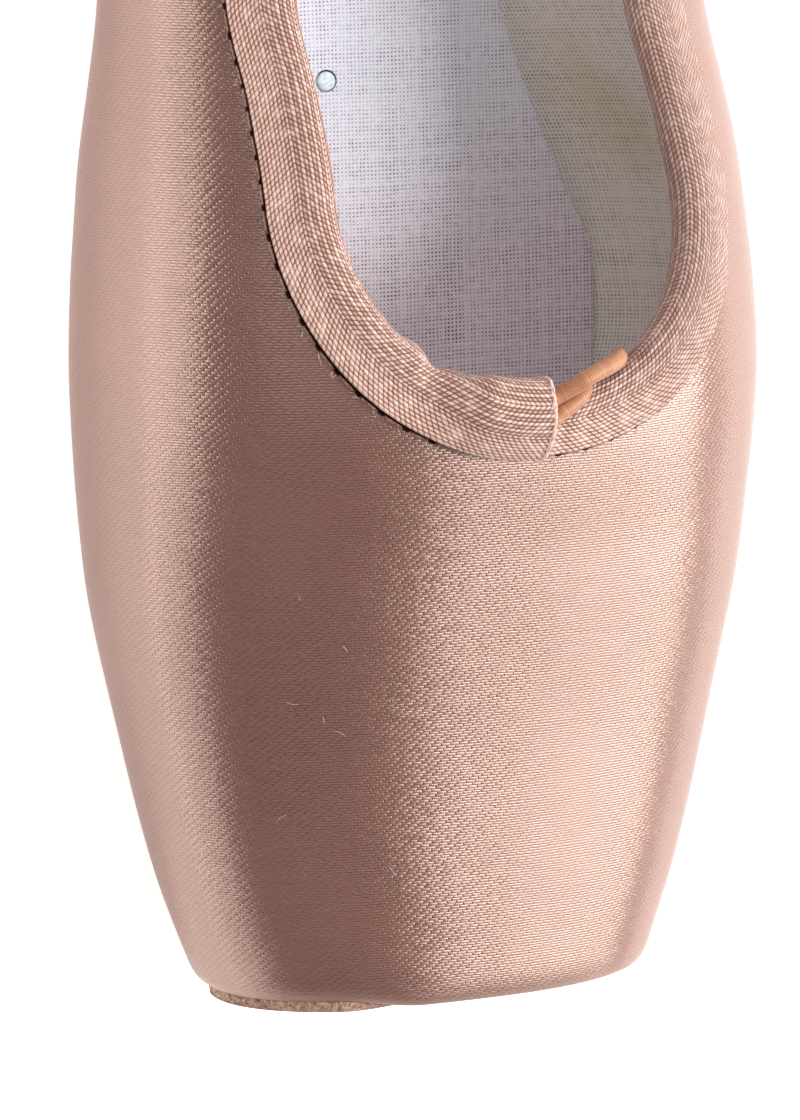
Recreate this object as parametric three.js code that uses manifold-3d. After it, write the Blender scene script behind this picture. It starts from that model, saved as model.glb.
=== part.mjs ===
// A pointe shoe: a satin upper stiffened into a box with a flat platform at the toe, a bound
// collar with a drawstring, a narrow leather outsole and a canvas-covered insole.
// It is straight-lasted, so left and right feet take the same shoe.
// Millimetres, +Z up, toe towards -Y, standing on its sole. The origin is on the floor under the
// middle of the overall length. Along the shoe, s is the distance behind the platform.
import * as THREE from "three";
import { mergeVertices } from "three/addons/utils/BufferGeometryUtils.js";
import Module from "manifold-3d";

const wasm = await Module();
wasm.setup();

// Driving dimensions
const OVERALL_LENGTH = 238;
const GAP = 0.3; // between pieces that touch
const TIP_THICKNESS = 1.2; // suede on the platform
const OUTSOLE_THICKNESS = 2.6;
const INSOLE_THICKNESS = 2;
const TOE_SPRING = 4.9; // rise of the underside at the platform
const TOE_SPRING_LENGTH = 45;
const TOE_SPRING_POWER = 1.6;
const ARCH_RISE = 4; // rise of the underside at the waist
const ARCH_START = 108;
const ARCH_END = 186;
const BOX_WALL = 2.8; // satin, canvas and the hardened layers of the box
const SIDE_WALL = 1.7; // satin and canvas behind the box
const FLOOR_WALL = 1.6; // the margin of the upper, turned under
const PLATFORM_WALL = 3.5;
const PLATFORM_EDGE_RADIUS = 2;
const HEEL_RADIUS = 30; // length of the rounded heel end, seen from above
const HEEL_ROUNDNESS = 2.2;
const TAPE_THICKNESS = 0.6; // binding tape
const TAPE_DROP = 4.8; // how far the tape reaches down the wall from its edge
const CORD_RADIUS = 0.95;

const PLATFORM_Y = -OVERALL_LENGTH / 2 + TIP_THICKNESS + GAP;
const LENGTH = OVERALL_LENGTH - TIP_THICKNESS - GAP; // platform to the back of the heel
const HEEL_START = LENGTH - HEEL_RADIUS;
const FLOOR_TO_UPPER = OUTSOLE_THICKNESS + GAP;
const BOX_END = 50; // the hardened box thins to the side wall from here
const SIDE_START = 72;

// The last, a row for each section: half width, height of the crown line, height of the widest
// point, and half width of the flat underside. Behind the throat the crown line is only the
// line to which the open walls would curve.
const LAST = [
  { s: 0, half: 26.3, crown: 35.9, widest: 20.2, flat: 12 },
  { s: 12, half: 30.5, crown: 37.1, widest: 20.2, flat: 16.5 },
  { s: 28, half: 34.3, crown: 38.9, widest: 20.5, flat: 21 },
  { s: 48, half: 38, crown: 42.5, widest: 21.2, flat: 25.5 },
  { s: 68, half: 39.2, crown: 46.2, widest: 22, flat: 27.5 },
  { s: 88, half: 37.8, crown: 44.6, widest: 21.2, flat: 23 },
  { s: 108, half: 34.5, crown: 39.2, widest: 19.6, flat: 18 },
  { s: 128, half: 32.6, crown: 35.2, widest: 18.4, flat: 15.5 },
  { s: 150, half: 31, crown: 35.9, widest: 17.6, flat: 15 },
  { s: 174, half: 29.2, crown: 41.6, widest: 17.6, flat: 16.5 },
  { s: 198, half: 28, crown: 51.1, widest: 17.6, flat: 18 },
  { s: 216, half: 27.6, crown: 57.6, widest: 18.1, flat: 18 },
  { s: LENGTH, half: 27.6, crown: 60.6, widest: 18.6, flat: 18 },
];
// Each section is a squared oval: |x / half| ** SIDE_POWER + |height / depth| ** power = 1.
const SIDE_POWER = 2.5;
const CROWN_POWER = 2;
const BELLY_POWER = 2.6;
const HEEL_FLAT_SHARE = 0.66; // most of the half width that may be flat underneath

// The opening: a squared ellipse at the throat, then a share of the half width back to the heel.
// It sits a little to one side at the throat, as sewn.
const THROAT_S = 65.4;
const THROAT_END_S = 88;
const THROAT_POWER = 2.1;
const COLLAR = [
  { s: THROAT_S, share: 0.606, shift: 3.8 },
  { s: 76, share: 0.606, shift: 3.4 },
  { s: THROAT_END_S, share: 0.606, shift: 2.4 },
  { s: 100, share: 0.62, shift: 1.2 },
  { s: 110, share: 0.64, shift: 0 },
  { s: 128, share: 0.667, shift: 0 },
  { s: 150, share: 0.69, shift: 0 },
  { s: 175, share: 0.7, shift: 0 },
  { s: 200, share: 0.68, shift: 0 },
  { s: LENGTH, share: 0.68, shift: 0 },
];

// Along the turn of the collar: the ends of the throat and of the sides, and the number of steps
const THROAT_TURN = 0.28;
const HEEL_TURN = 0.74;
const COLLAR_STEPS = 36;
// The tape begins left of the throat and ends right of it, lapped over its own beginning.
const TAPE_START = -0.044;
const FOLD_START = 0.08;
const FOLD_FULL = 0.2;
const LAP_START = 1.9;
const LAP_FULL = 1.95;
const TAPE_END = 1.997;

// The drawstring's two ends, a row for each point of the route: out side by side from under the
// lapped end of the tape, over the edge, down inside and forward onto the insole
const INNER_END = [
  { x: -1.2, y: -51, z: 48.05 },
  { x: 1.4, y: -51.1, z: 48.05 },
  { x: 3.5, y: -50.8, z: 48.1 },
  { x: 5, y: -50.1, z: 48.25 },
  { x: 6.4, y: -49.3, z: 48.7 },
  { x: 7.8, y: -48.5, z: 49.05 },
  { x: 9.4, y: -47.9, z: 48.6 },
  { x: 11, y: -47.8, z: 47.2 },
  { x: 12.3, y: -47.2, z: 45.7 },
  { x: 13.3, y: -46.8, z: 43.7 },
  { x: 14.5, y: -47.5, z: 41.4 },
  { x: 15.3, y: -49, z: 39.3 },
  { x: 15.6, y: -51.2, z: 36.2 },
  { x: 15.3, y: -54.2, z: 32.4 },
  { x: 14.7, y: -58, z: 27.9 },
  { x: 14, y: -61.8, z: 23 },
  { x: 13.2, y: -66, z: 17 },
  { x: 12.6, y: -70.2, z: 11.8 },
  { x: 12.2, y: -74.8, z: 8.9 },
  { x: 12.2, y: -80, z: 8.3 },
  { x: 12.6, y: -85, z: 8.65 },
];
const OUTER_END = [
  { x: -1.2, y: -53.1, z: 48.15 },
  { x: 1.2, y: -53.3, z: 48.15 },
  { x: 3.5, y: -53.1, z: 48.15 },
  { x: 5.1, y: -52.3, z: 48.15 },
  { x: 6.7, y: -51.3, z: 48 },
  { x: 8, y: -50.05, z: 47.5 },
  { x: 9.2, y: -48.65, z: 46.25 },
  { x: 10.1, y: -47.95, z: 44.3 },
  { x: 11.3, y: -48.7, z: 41.9 },
  { x: 12.2, y: -50.4, z: 39.4 },
  { x: 12.6, y: -52.7, z: 35.9 },
  { x: 12.6, y: -56, z: 31.6 },
  { x: 11.9, y: -59.8, z: 26.6 },
  { x: 11.1, y: -63.8, z: 20.9 },
  { x: 10.3, y: -67.8, z: 15 },
  { x: 9.7, y: -72.2, z: 10.4 },
  { x: 9.3, y: -77.2, z: 8.3 },
  { x: 9, y: -82, z: 8.45 },
];
const CORD_SIDES = 8;
const CORD_STEPS = 30;

// The insole's outline, which is narrow at the waist
const INSOLE = [
  { s: 12, half: 19 },
  { s: 28, half: 25 },
  { s: 48, half: 30 },
  { s: 66, half: 31.3 },
  { s: 75, half: 29.2 },
  { s: 86, half: 24.5 },
  { s: 100, half: 19 },
  { s: 112, half: 16 },
  { s: 135, half: 15.4 },
  { s: 174, half: 17.5 },
  { s: 198, half: 20 },
  { s: 232, half: 20 },
];

// A smooth curve through a table's column that never overshoots: cubic pieces whose slopes are
// the harmonic means of the slopes on either side.
function through(rows, column) {
  const last = rows.length - 1;
  const slopes = rows.slice(1).map((r, i) => (r[column] - rows[i][column]) / (r.s - rows[i].s));
  const tangents = rows.map((_, i) => {
    if (i === 0) return slopes[0];
    if (i === last) return slopes[last - 1];
    const [before, after] = [slopes[i - 1], slopes[i]];
    return before * after <= 0 ? 0 : (2 * before * after) / (before + after);
  });
  return (s) => {
    const at = Math.min(Math.max(s, rows[0].s), rows[last].s);
    const i = Math.min(last - 1, rows.filter((r) => r.s <= at).length - 1);
    const span = rows[i + 1].s - rows[i].s;
    const t = (at - rows[i].s) / span;
    const rise = 3 * t * t - 2 * t * t * t;
    return (
      rows[i][column] * (1 - rise) +
      rows[i + 1][column] * rise +
      span * (tangents[i] * t * (1 - t) ** 2 - tangents[i + 1] * t * t * (1 - t))
    );
  };
}

const lastHalf = through(LAST, "half");
const lastCrown = through(LAST, "crown");
const widest = through(LAST, "widest");
const lastFlat = through(LAST, "flat");
const collarShare = through(COLLAR, "share");
const collarShift = through(COLLAR, "shift");
const insoleHalf = through(INSOLE, "half");
const smooth = (t) => THREE.MathUtils.smoothstep(t, 0, 1);

// Height of the upper's underside: toe spring, flat tread, arch, flat heel
function underside(s) {
  const spring = TOE_SPRING * Math.max(0, 1 - s / TOE_SPRING_LENGTH) ** TOE_SPRING_POWER;
  const along = THREE.MathUtils.clamp((s - ARCH_START) / (ARCH_END - ARCH_START), 0, 1);
  return FLOOR_TO_UPPER + spring + ARCH_RISE * Math.sin(Math.PI * along) ** 2;
}

// Wall thickness at s, from the hardened box to the soft sides
const wallAt = (s) => BOX_WALL + (SIDE_WALL - BOX_WALL) * smooth((s - BOX_END) / (SIDE_START - BOX_END));

// The four shells that the pieces are cut from: the outside, the inside, and the space left for
// the insole. Each is the last drawn in by its wall, floor and platform thickness.
const OUTSIDE = { wall: () => 0, floor: 0, front: 0, edge: PLATFORM_EDGE_RADIUS };
const INSIDE = { wall: wallAt, floor: FLOOR_WALL, front: PLATFORM_WALL, edge: PLATFORM_EDGE_RADIUS / 2 };
const CHAMBER = {
  wall: (s) => wallAt(s) + 3 * GAP,
  floor: FLOOR_WALL + GAP,
  front: PLATFORM_WALL + GAP,
  edge: PLATFORM_EDGE_RADIUS / 2,
};

// How far the platform's rounded edge draws a section in
function edgeInset(s, shell) {
  const short = Math.max(0, shell.edge - (s - shell.front));
  return shell.edge - Math.sqrt(Math.max(0, shell.edge ** 2 - short ** 2));
}

// The sizes of a shell's section at s
function section(s, shell) {
  const wall = shell.wall(s);
  const inset = edgeInset(s, shell);
  const round = Math.max(0, (s - HEEL_START) / (HEEL_RADIUS - wall));
  const close = Math.max(0, 1 - round ** HEEL_ROUNDNESS) ** (1 / HEEL_ROUNDNESS);
  const full = lastHalf(s) - wall - inset;
  const half = full * close;
  const low = underside(s) + shell.floor + inset;
  const flat = Math.min(lastFlat(s) - wall / 2 - inset, HEEL_FLAT_SHARE * half);
  const mid = widest(s);
  const share = half > 0 ? flat / half : HEEL_FLAT_SHARE;
  const belly = (mid - low) / (1 - share ** SIDE_POWER) ** (1 / BELLY_POWER);
  return { full, half, round, mid, low, belly, crown: lastCrown(s) - wall - inset };
}

// The back of the heel leans forward above its widest height and tucks under below it.
const HEEL_WIDEST = 20;
const LEAN_START = 190;
const LEAN = { distance: 3.5, height: 34 }; // at the collar
const TUCK = { distance: 4.5, height: 17 }; // at the sole
function heelLean(s, z) {
  const above = Math.max(0, z - HEEL_WIDEST) / LEAN.height;
  const below = Math.max(0, HEEL_WIDEST - z) / TUCK.height;
  const most = LEAN.distance * above ** 2 + TUCK.distance * below ** 2;
  return smooth((s - LEAN_START) / (LENGTH - LEAN_START)) * most;
}

const place = (s, x, z) => new THREE.Vector3(x, PLATFORM_Y + s - heelLean(s, z), z);

// A point of a section at an angle from its right-hand widest point
function sectionPoint(s, angle, shell) {
  const { half, mid, low, belly, crown } = section(s, shell);
  const across = Math.cos(angle);
  const up = Math.sin(angle);
  const x = half * Math.sign(across) * Math.abs(across) ** (2 / SIDE_POWER);
  const rise = (crown - mid) * Math.abs(up) ** (2 / CROWN_POWER);
  const drop = belly * Math.abs(up) ** (2 / BELLY_POWER);
  return place(s, x, up >= 0 ? mid + rise : Math.max(low, mid - drop));
}

// Below 0 inside a shell and above 0 outside it, from the same section formula
function field(p, shell) {
  let s = p.y - PLATFORM_Y;
  for (let i = 0; i < 4; i++) s = p.y - PLATFORM_Y + heelLean(s, p.z);
  const { full, round, mid, belly, crown } = section(s, shell);
  const up = p.z >= mid;
  const tall = up ? crown - mid : belly;
  const rise = (Math.abs(p.z - mid) / tall) ** (up ? CROWN_POWER : BELLY_POWER);
  if (round === 0) return (Math.abs(p.x) / full) ** SIDE_POWER + rise - 1;
  const reach = full * Math.max(1 - rise, 0.01) ** (1 / SIDE_POWER);
  return (Math.abs(p.x) / reach) ** HEEL_ROUNDNESS + round ** HEEL_ROUNDNESS - 1;
}

function gradient(p, shell) {
  const step = 0.02;
  const part = (axis) => {
    const ahead = p.clone();
    const behind = p.clone();
    ahead[axis] += step;
    behind[axis] -= step;
    return (field(ahead, shell) - field(behind, shell)) / (2 * step);
  };
  return new THREE.Vector3(part("x"), part("y"), part("z"));
}

// The nearest point of a shell, and the way out of it there
function settle(p, shell) {
  const at = p.clone();
  for (let i = 0; i < 6; i++) {
    const g = gradient(at, shell);
    at.addScaledVector(g, -field(at, shell) / g.lengthSq());
  }
  return { at, out: gradient(at, shell).normalize() };
}

// A solid from rings of points, closed across each end between the two sides of the ring, or with
// its last ring already folded flat on itself
function solidOfRings(rings, folded = false) {
  const n = rings[0].length;
  const last = (rings.length - 1) * n;
  const faces = [];
  for (let i = 0; i < last; i += n) {
    for (let j = 0; j < n; j++) {
      const k = (j + 1) % n;
      faces.push([i + j, i + k, i + n + k], [i + j, i + n + k, i + n + j]);
    }
  }
  for (let j = 0; j < n / 2 - 1; j++) {
    const [a, b, c, d] = [j, j + 1, n - 2 - j, n - 1 - j];
    faces.push([c, b, a], [d, c, a]);
    if (!folded) faces.push([last + a, last + b, last + c], [last + a, last + c, last + d]);
  }
  const geometry = new THREE.BufferGeometry().setFromPoints(rings.flat());
  geometry.setIndex(faces.flat());
  return solidOf(geometry);
}

// A solid from any closed geometry: vertices merged, slivers dropped, faces turned outwards
function solidOf(geometry) {
  const bare = geometry.clone();
  bare.deleteAttribute("normal");
  bare.deleteAttribute("uv");
  const merged = mergeVertices(bare, 1e-4);
  const kept = [];
  for (let i = 0; i < merged.index.count; i += 3) {
    const [a, b, c] = [0, 1, 2].map((k) => merged.index.getX(i + k));
    if (a !== b && b !== c && c !== a) kept.push(a, b, c);
  }
  const build = (triangles) =>
    new wasm.Manifold(
      new wasm.Mesh({
        numProp: 3,
        vertProperties: new Float32Array(merged.attributes.position.array),
        triVerts: new Uint32Array(triangles),
      }),
    );
  const made = build(kept);
  if (made.volume() > 0) return made;
  const turned = [];
  for (let i = 0; i < kept.length; i += 3) turned.push(kept[i], kept[i + 2], kept[i + 1]);
  return build(turned);
}

const steps = (from, to, count) =>
  Array.from({ length: count + 1 }, (_, i) => from + ((to - from) * i) / count);

// The whole closed form of a shell: sections close together at the platform's edge, evenly spaced
// along the shoe, and closing in round the heel
const OUTSIDE_FACETS = 40;
const INSIDE_FACETS = 32;
const EDGE_SECTIONS = 3;
const SIDE_SECTIONS = 26;
const HEEL_SECTIONS = 7;
function formOf(shell, around) {
  const edge = steps(0, Math.PI / 2, EDGE_SECTIONS).map(
    (a) => shell.front + shell.edge * (1 - Math.cos(a)),
  );
  const along = steps(shell.front + shell.edge, HEEL_START, SIDE_SECTIONS).slice(1);
  const back = HEEL_RADIUS - shell.wall(LENGTH);
  const heel = steps(0, Math.PI / 2, HEEL_SECTIONS)
    .slice(1)
    .map((a) => HEEL_START + back * Math.sin(a));
  const angles = steps(0, 2 * Math.PI, around).slice(0, around);
  const rings = [...edge, ...along, ...heel].map((s) => angles.map((a) => sectionPoint(s, a, shell)));
  return solidOfRings(rings, true);
}

// A flat outline, given as half widths at each s, as a solid between two heights
function outlineSolid(stations, halfAt, low, high) {
  const side = stations.map((s) => [halfAt(s), PLATFORM_Y + s]);
  const mirrored = side.map(([x, y]) => [-x, y]).reverse();
  const shape = new THREE.Shape([...side, ...mirrored].map(([x, y]) => new THREE.Vector2(x, y)));
  const geometry = new THREE.ExtrudeGeometry(shape, { depth: high - low, bevelEnabled: false });
  return solidOf(geometry.translate(0, 0, low));
}

// A layer that follows the underside from front to back, between two heights above it
const LAYER_SECTIONS = 60;
const CLEAR = 5; // how far a cutting shape reaches past what it cuts
function layer(low, high) {
  const stations = steps(-CLEAR, LENGTH + CLEAR, LAYER_SECTIONS);
  const line = (up) => stations.map((s) => new THREE.Vector2(s + PLATFORM_Y, underside(s) + up));
  const shape = new THREE.Shape([...line(low), ...line(high).reverse()]);
  const width = 100;
  const geometry = new THREE.ExtrudeGeometry(shape, { depth: width, bevelEnabled: false });
  const turn = new THREE.Matrix4().makeBasis(
    new THREE.Vector3(0, 1, 0),
    new THREE.Vector3(0, 0, 1),
    new THREE.Vector3(1, 0, 0),
  );
  return solidOf(geometry.applyMatrix4(turn).translate(-width / 2, 0, 0));
}

// Stations of an outline with both ends rounded, and its half width there
const END_STATIONS = 6;
const MIDDLE_STATIONS = 24;
const END_HALF = 0.05; // the half width left at the very ends
function roundedEnds({ start, frontRound, end, backRound }, halfAt) {
  const quarter = steps(0, Math.PI / 2, END_STATIONS);
  const front = quarter.map((a) => start + frontRound * (1 - Math.cos(a)));
  const back = quarter.map((a) => end - backRound * (1 - Math.sin(a)));
  const middle = steps(start + frontRound, end - backRound, MIDDLE_STATIONS).slice(1, -1);
  const stations = [...front, ...middle, ...back];
  const half = (s) => {
    const toFront = THREE.MathUtils.clamp(1 - (s - start) / frontRound, 0, 1);
    const toBack = THREE.MathUtils.clamp(1 - (end - s) / backRound, 0, 1);
    return Math.max(END_HALF, halfAt(s) * Math.sqrt((1 - toFront ** 2) * (1 - toBack ** 2)));
  };
  return { stations, half };
}

// The collar

// A point of the edge of the opening. The turn goes from 0 at the throat, round the right-hand
// side, to 1 at the back of the heel, and from there round the left-hand side to 2.
function collarPoint(turn) {
  const wrapped = THREE.MathUtils.euclideanModulo(turn, 2);
  const side = wrapped > 1 ? -1 : 1;
  const t = wrapped > 1 ? 2 - wrapped : wrapped;
  if (t < THROAT_TURN) {
    const angle = ((t / THROAT_TURN) * Math.PI) / 2;
    const forward = Math.cos(angle) ** (2 / THROAT_POWER);
    const across = Math.sin(angle) ** (2 / THROAT_POWER);
    const half = collarShare(THROAT_END_S) * lastHalf(THROAT_END_S);
    return onWall(THROAT_END_S - (THROAT_END_S - THROAT_S) * forward, side * half * across);
  }
  const toHeel = (t - THROAT_TURN) / (HEEL_TURN - THROAT_TURN);
  const roundHeel = ((t - HEEL_TURN) / (1 - HEEL_TURN)) * (Math.PI / 2);
  const s =
    t < HEEL_TURN
      ? THROAT_END_S + (HEEL_START - THROAT_END_S) * toHeel
      : HEEL_START + HEEL_RADIUS * Math.sin(roundHeel);
  return onWall(s, side * collarShare(s) * section(s, OUTSIDE).half);
}

// The point of the outside at s, with x measured from the middle of the opening there
function onWall(s, fromMiddle) {
  const { half, mid, crown } = section(s, OUTSIDE);
  const x = fromMiddle + collarShift(s);
  const share = half > 0.01 ? Math.abs(x) / half : collarShare(s);
  return place(s, x, mid + (crown - mid) * (1 - share ** SIDE_POWER) ** (1 / CROWN_POWER));
}

// The edge at a turn, with the way out of the wall and the way down the wall
function edgeAt(turn) {
  const p = collarPoint(turn);
  const { out } = settle(p, OUTSIDE);
  const along = collarPoint(turn + 1e-3).sub(collarPoint(turn - 1e-3)).normalize();
  return { turn, p, out, down: along.cross(out).normalize() };
}

// A point a distance down the wall from the edge, kept on the outside, with the way out there
function downWall(edge, distance) {
  const count = 4;
  const point = { at: edge.p.clone(), out: edge.out };
  const along = edge.out.clone().cross(edge.down);
  for (let i = 0; i < count && distance > 0; i++) {
    const down = along.clone().cross(point.out).normalize();
    Object.assign(point, settle(point.at.addScaledVector(down, distance / count), OUTSIDE));
  }
  return point;
}

// A line across the edge: up the outside, over the top and down the inside, at its own distance
// off the wall at each of its points
function lineOverEdge(edge, drop, off) {
  const wall = wallAt(edge.p.y - PLATFORM_Y);
  const outer = [drop, drop / 2, 0].map((distance, i) => {
    const { at, out } = downWall(edge, distance);
    return at.addScaledVector(out, off[i]);
  });
  const middle = edge.p.clone().addScaledVector(edge.out, -wall / 2);
  const over = [1, 2, 3].map((i) => {
    const angle = (Math.PI * i) / 4;
    const radius = wall / 2 + off[2 + i];
    return middle
      .clone()
      .addScaledVector(edge.out, Math.cos(angle) * radius)
      .addScaledVector(edge.down, -Math.sin(angle) * radius);
  });
  const inner = [0, drop / 2, drop].map((distance, i) => {
    const { at, out } = downWall(edge, distance);
    const inside = settle(at.addScaledVector(out, -wall), INSIDE);
    return inside.at.addScaledVector(inside.out, -off[6 + i]);
  });
  return [...outer, ...over, ...inner];
}

// How far the tape stands off the wall along that line: pressed flat where it begins, fuller over
// the edge along the collar, and raised where its end laps over its beginning and the drawstring
const FLAT_LIFT = [0.45, 0.5, 0.5, 0.45, 0.45, 0.45, 0.5, 0.5, 0.45];
const FOLDED_LIFT = [0.45, 0.5, 0.7, 0.9, 1.1, 0.9, 0.7, 0.5, 0.45];
const LAPPED_LIFT = [1.45, 3.05, 3.8, 3.75, 1.85, 1.5, 1.5, 1.45, 1.4];

// A ring of the tape's section: its outer face and, back along it, the face on the wall
function tapeRing(turn) {
  const edge = edgeAt(turn);
  const fold = smooth((turn - FOLD_START) / (FOLD_FULL - FOLD_START));
  const lap = smooth((turn - LAP_START) / (LAP_FULL - LAP_START));
  const lift = FLAT_LIFT.map((flat, i) => {
    const folded = flat + (FOLDED_LIFT[i] - flat) * fold;
    return folded + (LAPPED_LIFT[i] - folded) * lap;
  });
  const outer = lineOverEdge(edge, TAPE_DROP, lift.map((off) => off + TAPE_THICKNESS));
  return [...outer, ...lineOverEdge(edge, TAPE_DROP, lift).reverse()];
}

// What the opening takes away: from inside the cavity, through the wall square to it, to far above
const CUTTER = { inside: 6, outside: 14, middle: 140, bottom: 20, top: 150 };
function openingCutter() {
  const edges = steps(0, 2, 2 * COLLAR_STEPS).slice(0, -1).map(edgeAt);
  const inside = edges.map((e) => e.p.clone().addScaledVector(e.out, -CUTTER.inside));
  const outside = edges.map((e) => e.p.clone().addScaledVector(e.out, CUTTER.outside));
  const below = place(CUTTER.middle, 0, CUTTER.bottom);
  const above = place(CUTTER.middle, 0, CUTTER.top);
  const points = [...inside, ...outside, below, above];
  const n = edges.length;
  const faces = [];
  for (let i = 0; i < n; i++) {
    const j = (i + 1) % n;
    faces.push([i, j, n + j], [i, n + j, n + i], [2 * n, j, i], [2 * n + 1, n + i, n + j]);
  }
  const geometry = new THREE.BufferGeometry().setFromPoints(points);
  geometry.setIndex(faces.flat());
  return solidOf(geometry);
}

// What the sole's opening takes away under the insole, and what of it the insole fills
const SOLE_OPENING = { start: 30, frontRound: 10, end: 224, backRound: 10, margin: 6.5 };
const ALL_HEIGHTS = [-10, 40];
function soleOpening(gap, low, high) {
  const ends = { ...SOLE_OPENING, start: SOLE_OPENING.start + gap, end: SOLE_OPENING.end - gap };
  const { stations, half } = roundedEnds(ends, (s) => lastFlat(s) - SOLE_OPENING.margin - gap);
  return outlineSolid(stations, half, ...ALL_HEIGHTS).intersect(layer(low, high));
}

// Pieces

function upperSolid() {
  const hollow = formOf(OUTSIDE, OUTSIDE_FACETS).subtract(formOf(INSIDE, INSIDE_FACETS));
  return hollow.subtract(openingCutter()).subtract(soleOpening(0, -1, FLOOR_WALL + 1));
}

const OUTSOLE = { start: 16, frontRound: 12, end: 229, backRound: 16, margin: 1 };
function outsoleSolid() {
  const { stations, half } = roundedEnds(OUTSOLE, (s) => lastFlat(s) - OUTSOLE.margin);
  return outlineSolid(stations, half, ...ALL_HEIGHTS).intersect(layer(-FLOOR_TO_UPPER, -GAP));
}

const INSOLE_ENDS = { start: 13, frontRound: 12, end: 232, backRound: 20 };
const INSOLE_TOP = FLOOR_WALL + GAP + INSOLE_THICKNESS; // above the underside of the upper
const NAIL = { s: 98, x: -4.2, radius: 1.3, height: 0.6, proud: 0.15 };
const NAIL_FACETS = 24;

function insoleSolid() {
  const { stations, half } = roundedEnds(INSOLE_ENDS, insoleHalf);
  const board = outlineSolid(stations, half, ...ALL_HEIGHTS)
    .intersect(layer(FLOOR_WALL + GAP, INSOLE_TOP))
    .intersect(formOf(CHAMBER, INSIDE_FACETS));
  const seatHeight = 2;
  const seatBottom = INSOLE_TOP + NAIL.proud - NAIL.height - GAP;
  const seat = new THREE.CylinderGeometry(NAIL.radius + GAP, NAIL.radius + GAP, seatHeight, NAIL_FACETS)
    .rotateX(Math.PI / 2)
    .translate(NAIL.x, PLATFORM_Y + NAIL.s, underside(NAIL.s) + seatBottom + seatHeight / 2);
  return board.add(soleOpening(GAP, 0, FLOOR_WALL + 1)).subtract(solidOf(seat));
}

function nailSolid() {
  const middle = underside(NAIL.s) + INSOLE_TOP + NAIL.proud - NAIL.height / 2;
  const head = new THREE.CylinderGeometry(NAIL.radius, NAIL.radius, NAIL.height, NAIL_FACETS)
    .rotateX(Math.PI / 2)
    .translate(NAIL.x, PLATFORM_Y + NAIL.s, middle);
  return solidOf(head);
}

// The suede pad covers the flat of the platform and part of its rounded edge: it has the outline
// of the section a little behind the platform.
const TIP_OUTLINE_S = 0.06;
function tipSolid() {
  const angles = steps(0, 2 * Math.PI, OUTSIDE_FACETS).slice(0, OUTSIDE_FACETS);
  const ring = (y) => angles.map((a) => sectionPoint(TIP_OUTLINE_S, a, OUTSIDE).setY(y));
  return solidOfRings([ring(PLATFORM_Y - GAP), ring(PLATFORM_Y - GAP - TIP_THICKNESS)]);
}

const TAPE_SECTIONS = { beginning: 13, round: 50, end: 14 };
function bindingSolid() {
  const beginning = steps(TAPE_START, THROAT_TURN, TAPE_SECTIONS.beginning);
  const round = steps(THROAT_TURN, 2 - THROAT_TURN, TAPE_SECTIONS.round).slice(1);
  const end = steps(2 - THROAT_TURN, TAPE_END, TAPE_SECTIONS.end).slice(1);
  return solidOfRings([...beginning, ...round, ...end].map(tapeRing));
}

function cordSolid(rows) {
  const route = new THREE.CatmullRomCurve3(rows.map(({ x, y, z }) => new THREE.Vector3(x, y, z)));
  const circle = new THREE.Shape().absarc(0, 0, CORD_RADIUS, 0, 2 * Math.PI);
  const options = { steps: CORD_STEPS, curveSegments: CORD_SIDES / 2, extrudePath: route };
  return solidOf(new THREE.ExtrudeGeometry(circle, options));
}

function meshOf(name, solid, color, roughness, metalness = 0) {
  const { vertProperties, triVerts } = solid.getMesh();
  const geometry = new THREE.BufferGeometry();
  geometry.setAttribute("position", new THREE.BufferAttribute(new Float32Array(vertProperties), 3));
  geometry.setIndex(new THREE.BufferAttribute(new Uint32Array(triVerts), 1));
  geometry.computeVertexNormals();
  const mesh = new THREE.Mesh(geometry, new THREE.MeshStandardMaterial({ color, roughness, metalness }));
  mesh.name = name;
  return mesh;
}

const shoe = new THREE.Group();
shoe.add(meshOf("upper", upperSolid(), 0xc99484, 0.4));
shoe.add(meshOf("outsole", outsoleSolid(), 0xb98d68, 0.7));
shoe.add(meshOf("insole", insoleSolid(), 0xd6cfd6, 0.9));
shoe.add(meshOf("insole_nail", nailSolid(), 0xc9d3de, 0.35, 0.9));
shoe.add(meshOf("platform_tip", tipSolid(), 0x9c7565, 0.95));
shoe.add(meshOf("binding", bindingSolid(), 0xc99a89, 0.8));
shoe.add(meshOf("drawstring_inner", cordSolid(INNER_END), 0xe2a874, 0.75));
shoe.add(meshOf("drawstring_outer", cordSolid(OUTER_END), 0xe2a874, 0.75));
export default shoe;
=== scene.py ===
import bpy
import numpy as np
from mathutils import Matrix, Vector


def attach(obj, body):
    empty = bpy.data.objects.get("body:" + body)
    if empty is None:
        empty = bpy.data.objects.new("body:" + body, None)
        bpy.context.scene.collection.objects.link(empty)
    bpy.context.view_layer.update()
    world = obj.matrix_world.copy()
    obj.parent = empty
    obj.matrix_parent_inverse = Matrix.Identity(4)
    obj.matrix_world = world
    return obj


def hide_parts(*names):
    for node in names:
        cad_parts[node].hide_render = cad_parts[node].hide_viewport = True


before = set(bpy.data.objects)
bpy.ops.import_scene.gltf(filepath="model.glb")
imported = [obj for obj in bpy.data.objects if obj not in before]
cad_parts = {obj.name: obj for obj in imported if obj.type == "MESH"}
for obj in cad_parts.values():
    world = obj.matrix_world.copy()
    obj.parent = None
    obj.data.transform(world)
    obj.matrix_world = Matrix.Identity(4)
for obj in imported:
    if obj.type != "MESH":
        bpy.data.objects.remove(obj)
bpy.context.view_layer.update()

# Camera: looks down on the forefoot, with the shoe's right side rolled towards the lens, from a
# little to the heel side of straight above it. The upright frame is 1120 pixels high.
MM = 0.001
ROLL = np.radians(22.998)
TILT = np.radians(9.716)
TWIST = np.radians(0.993)
DISTANCE = 0.7
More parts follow.
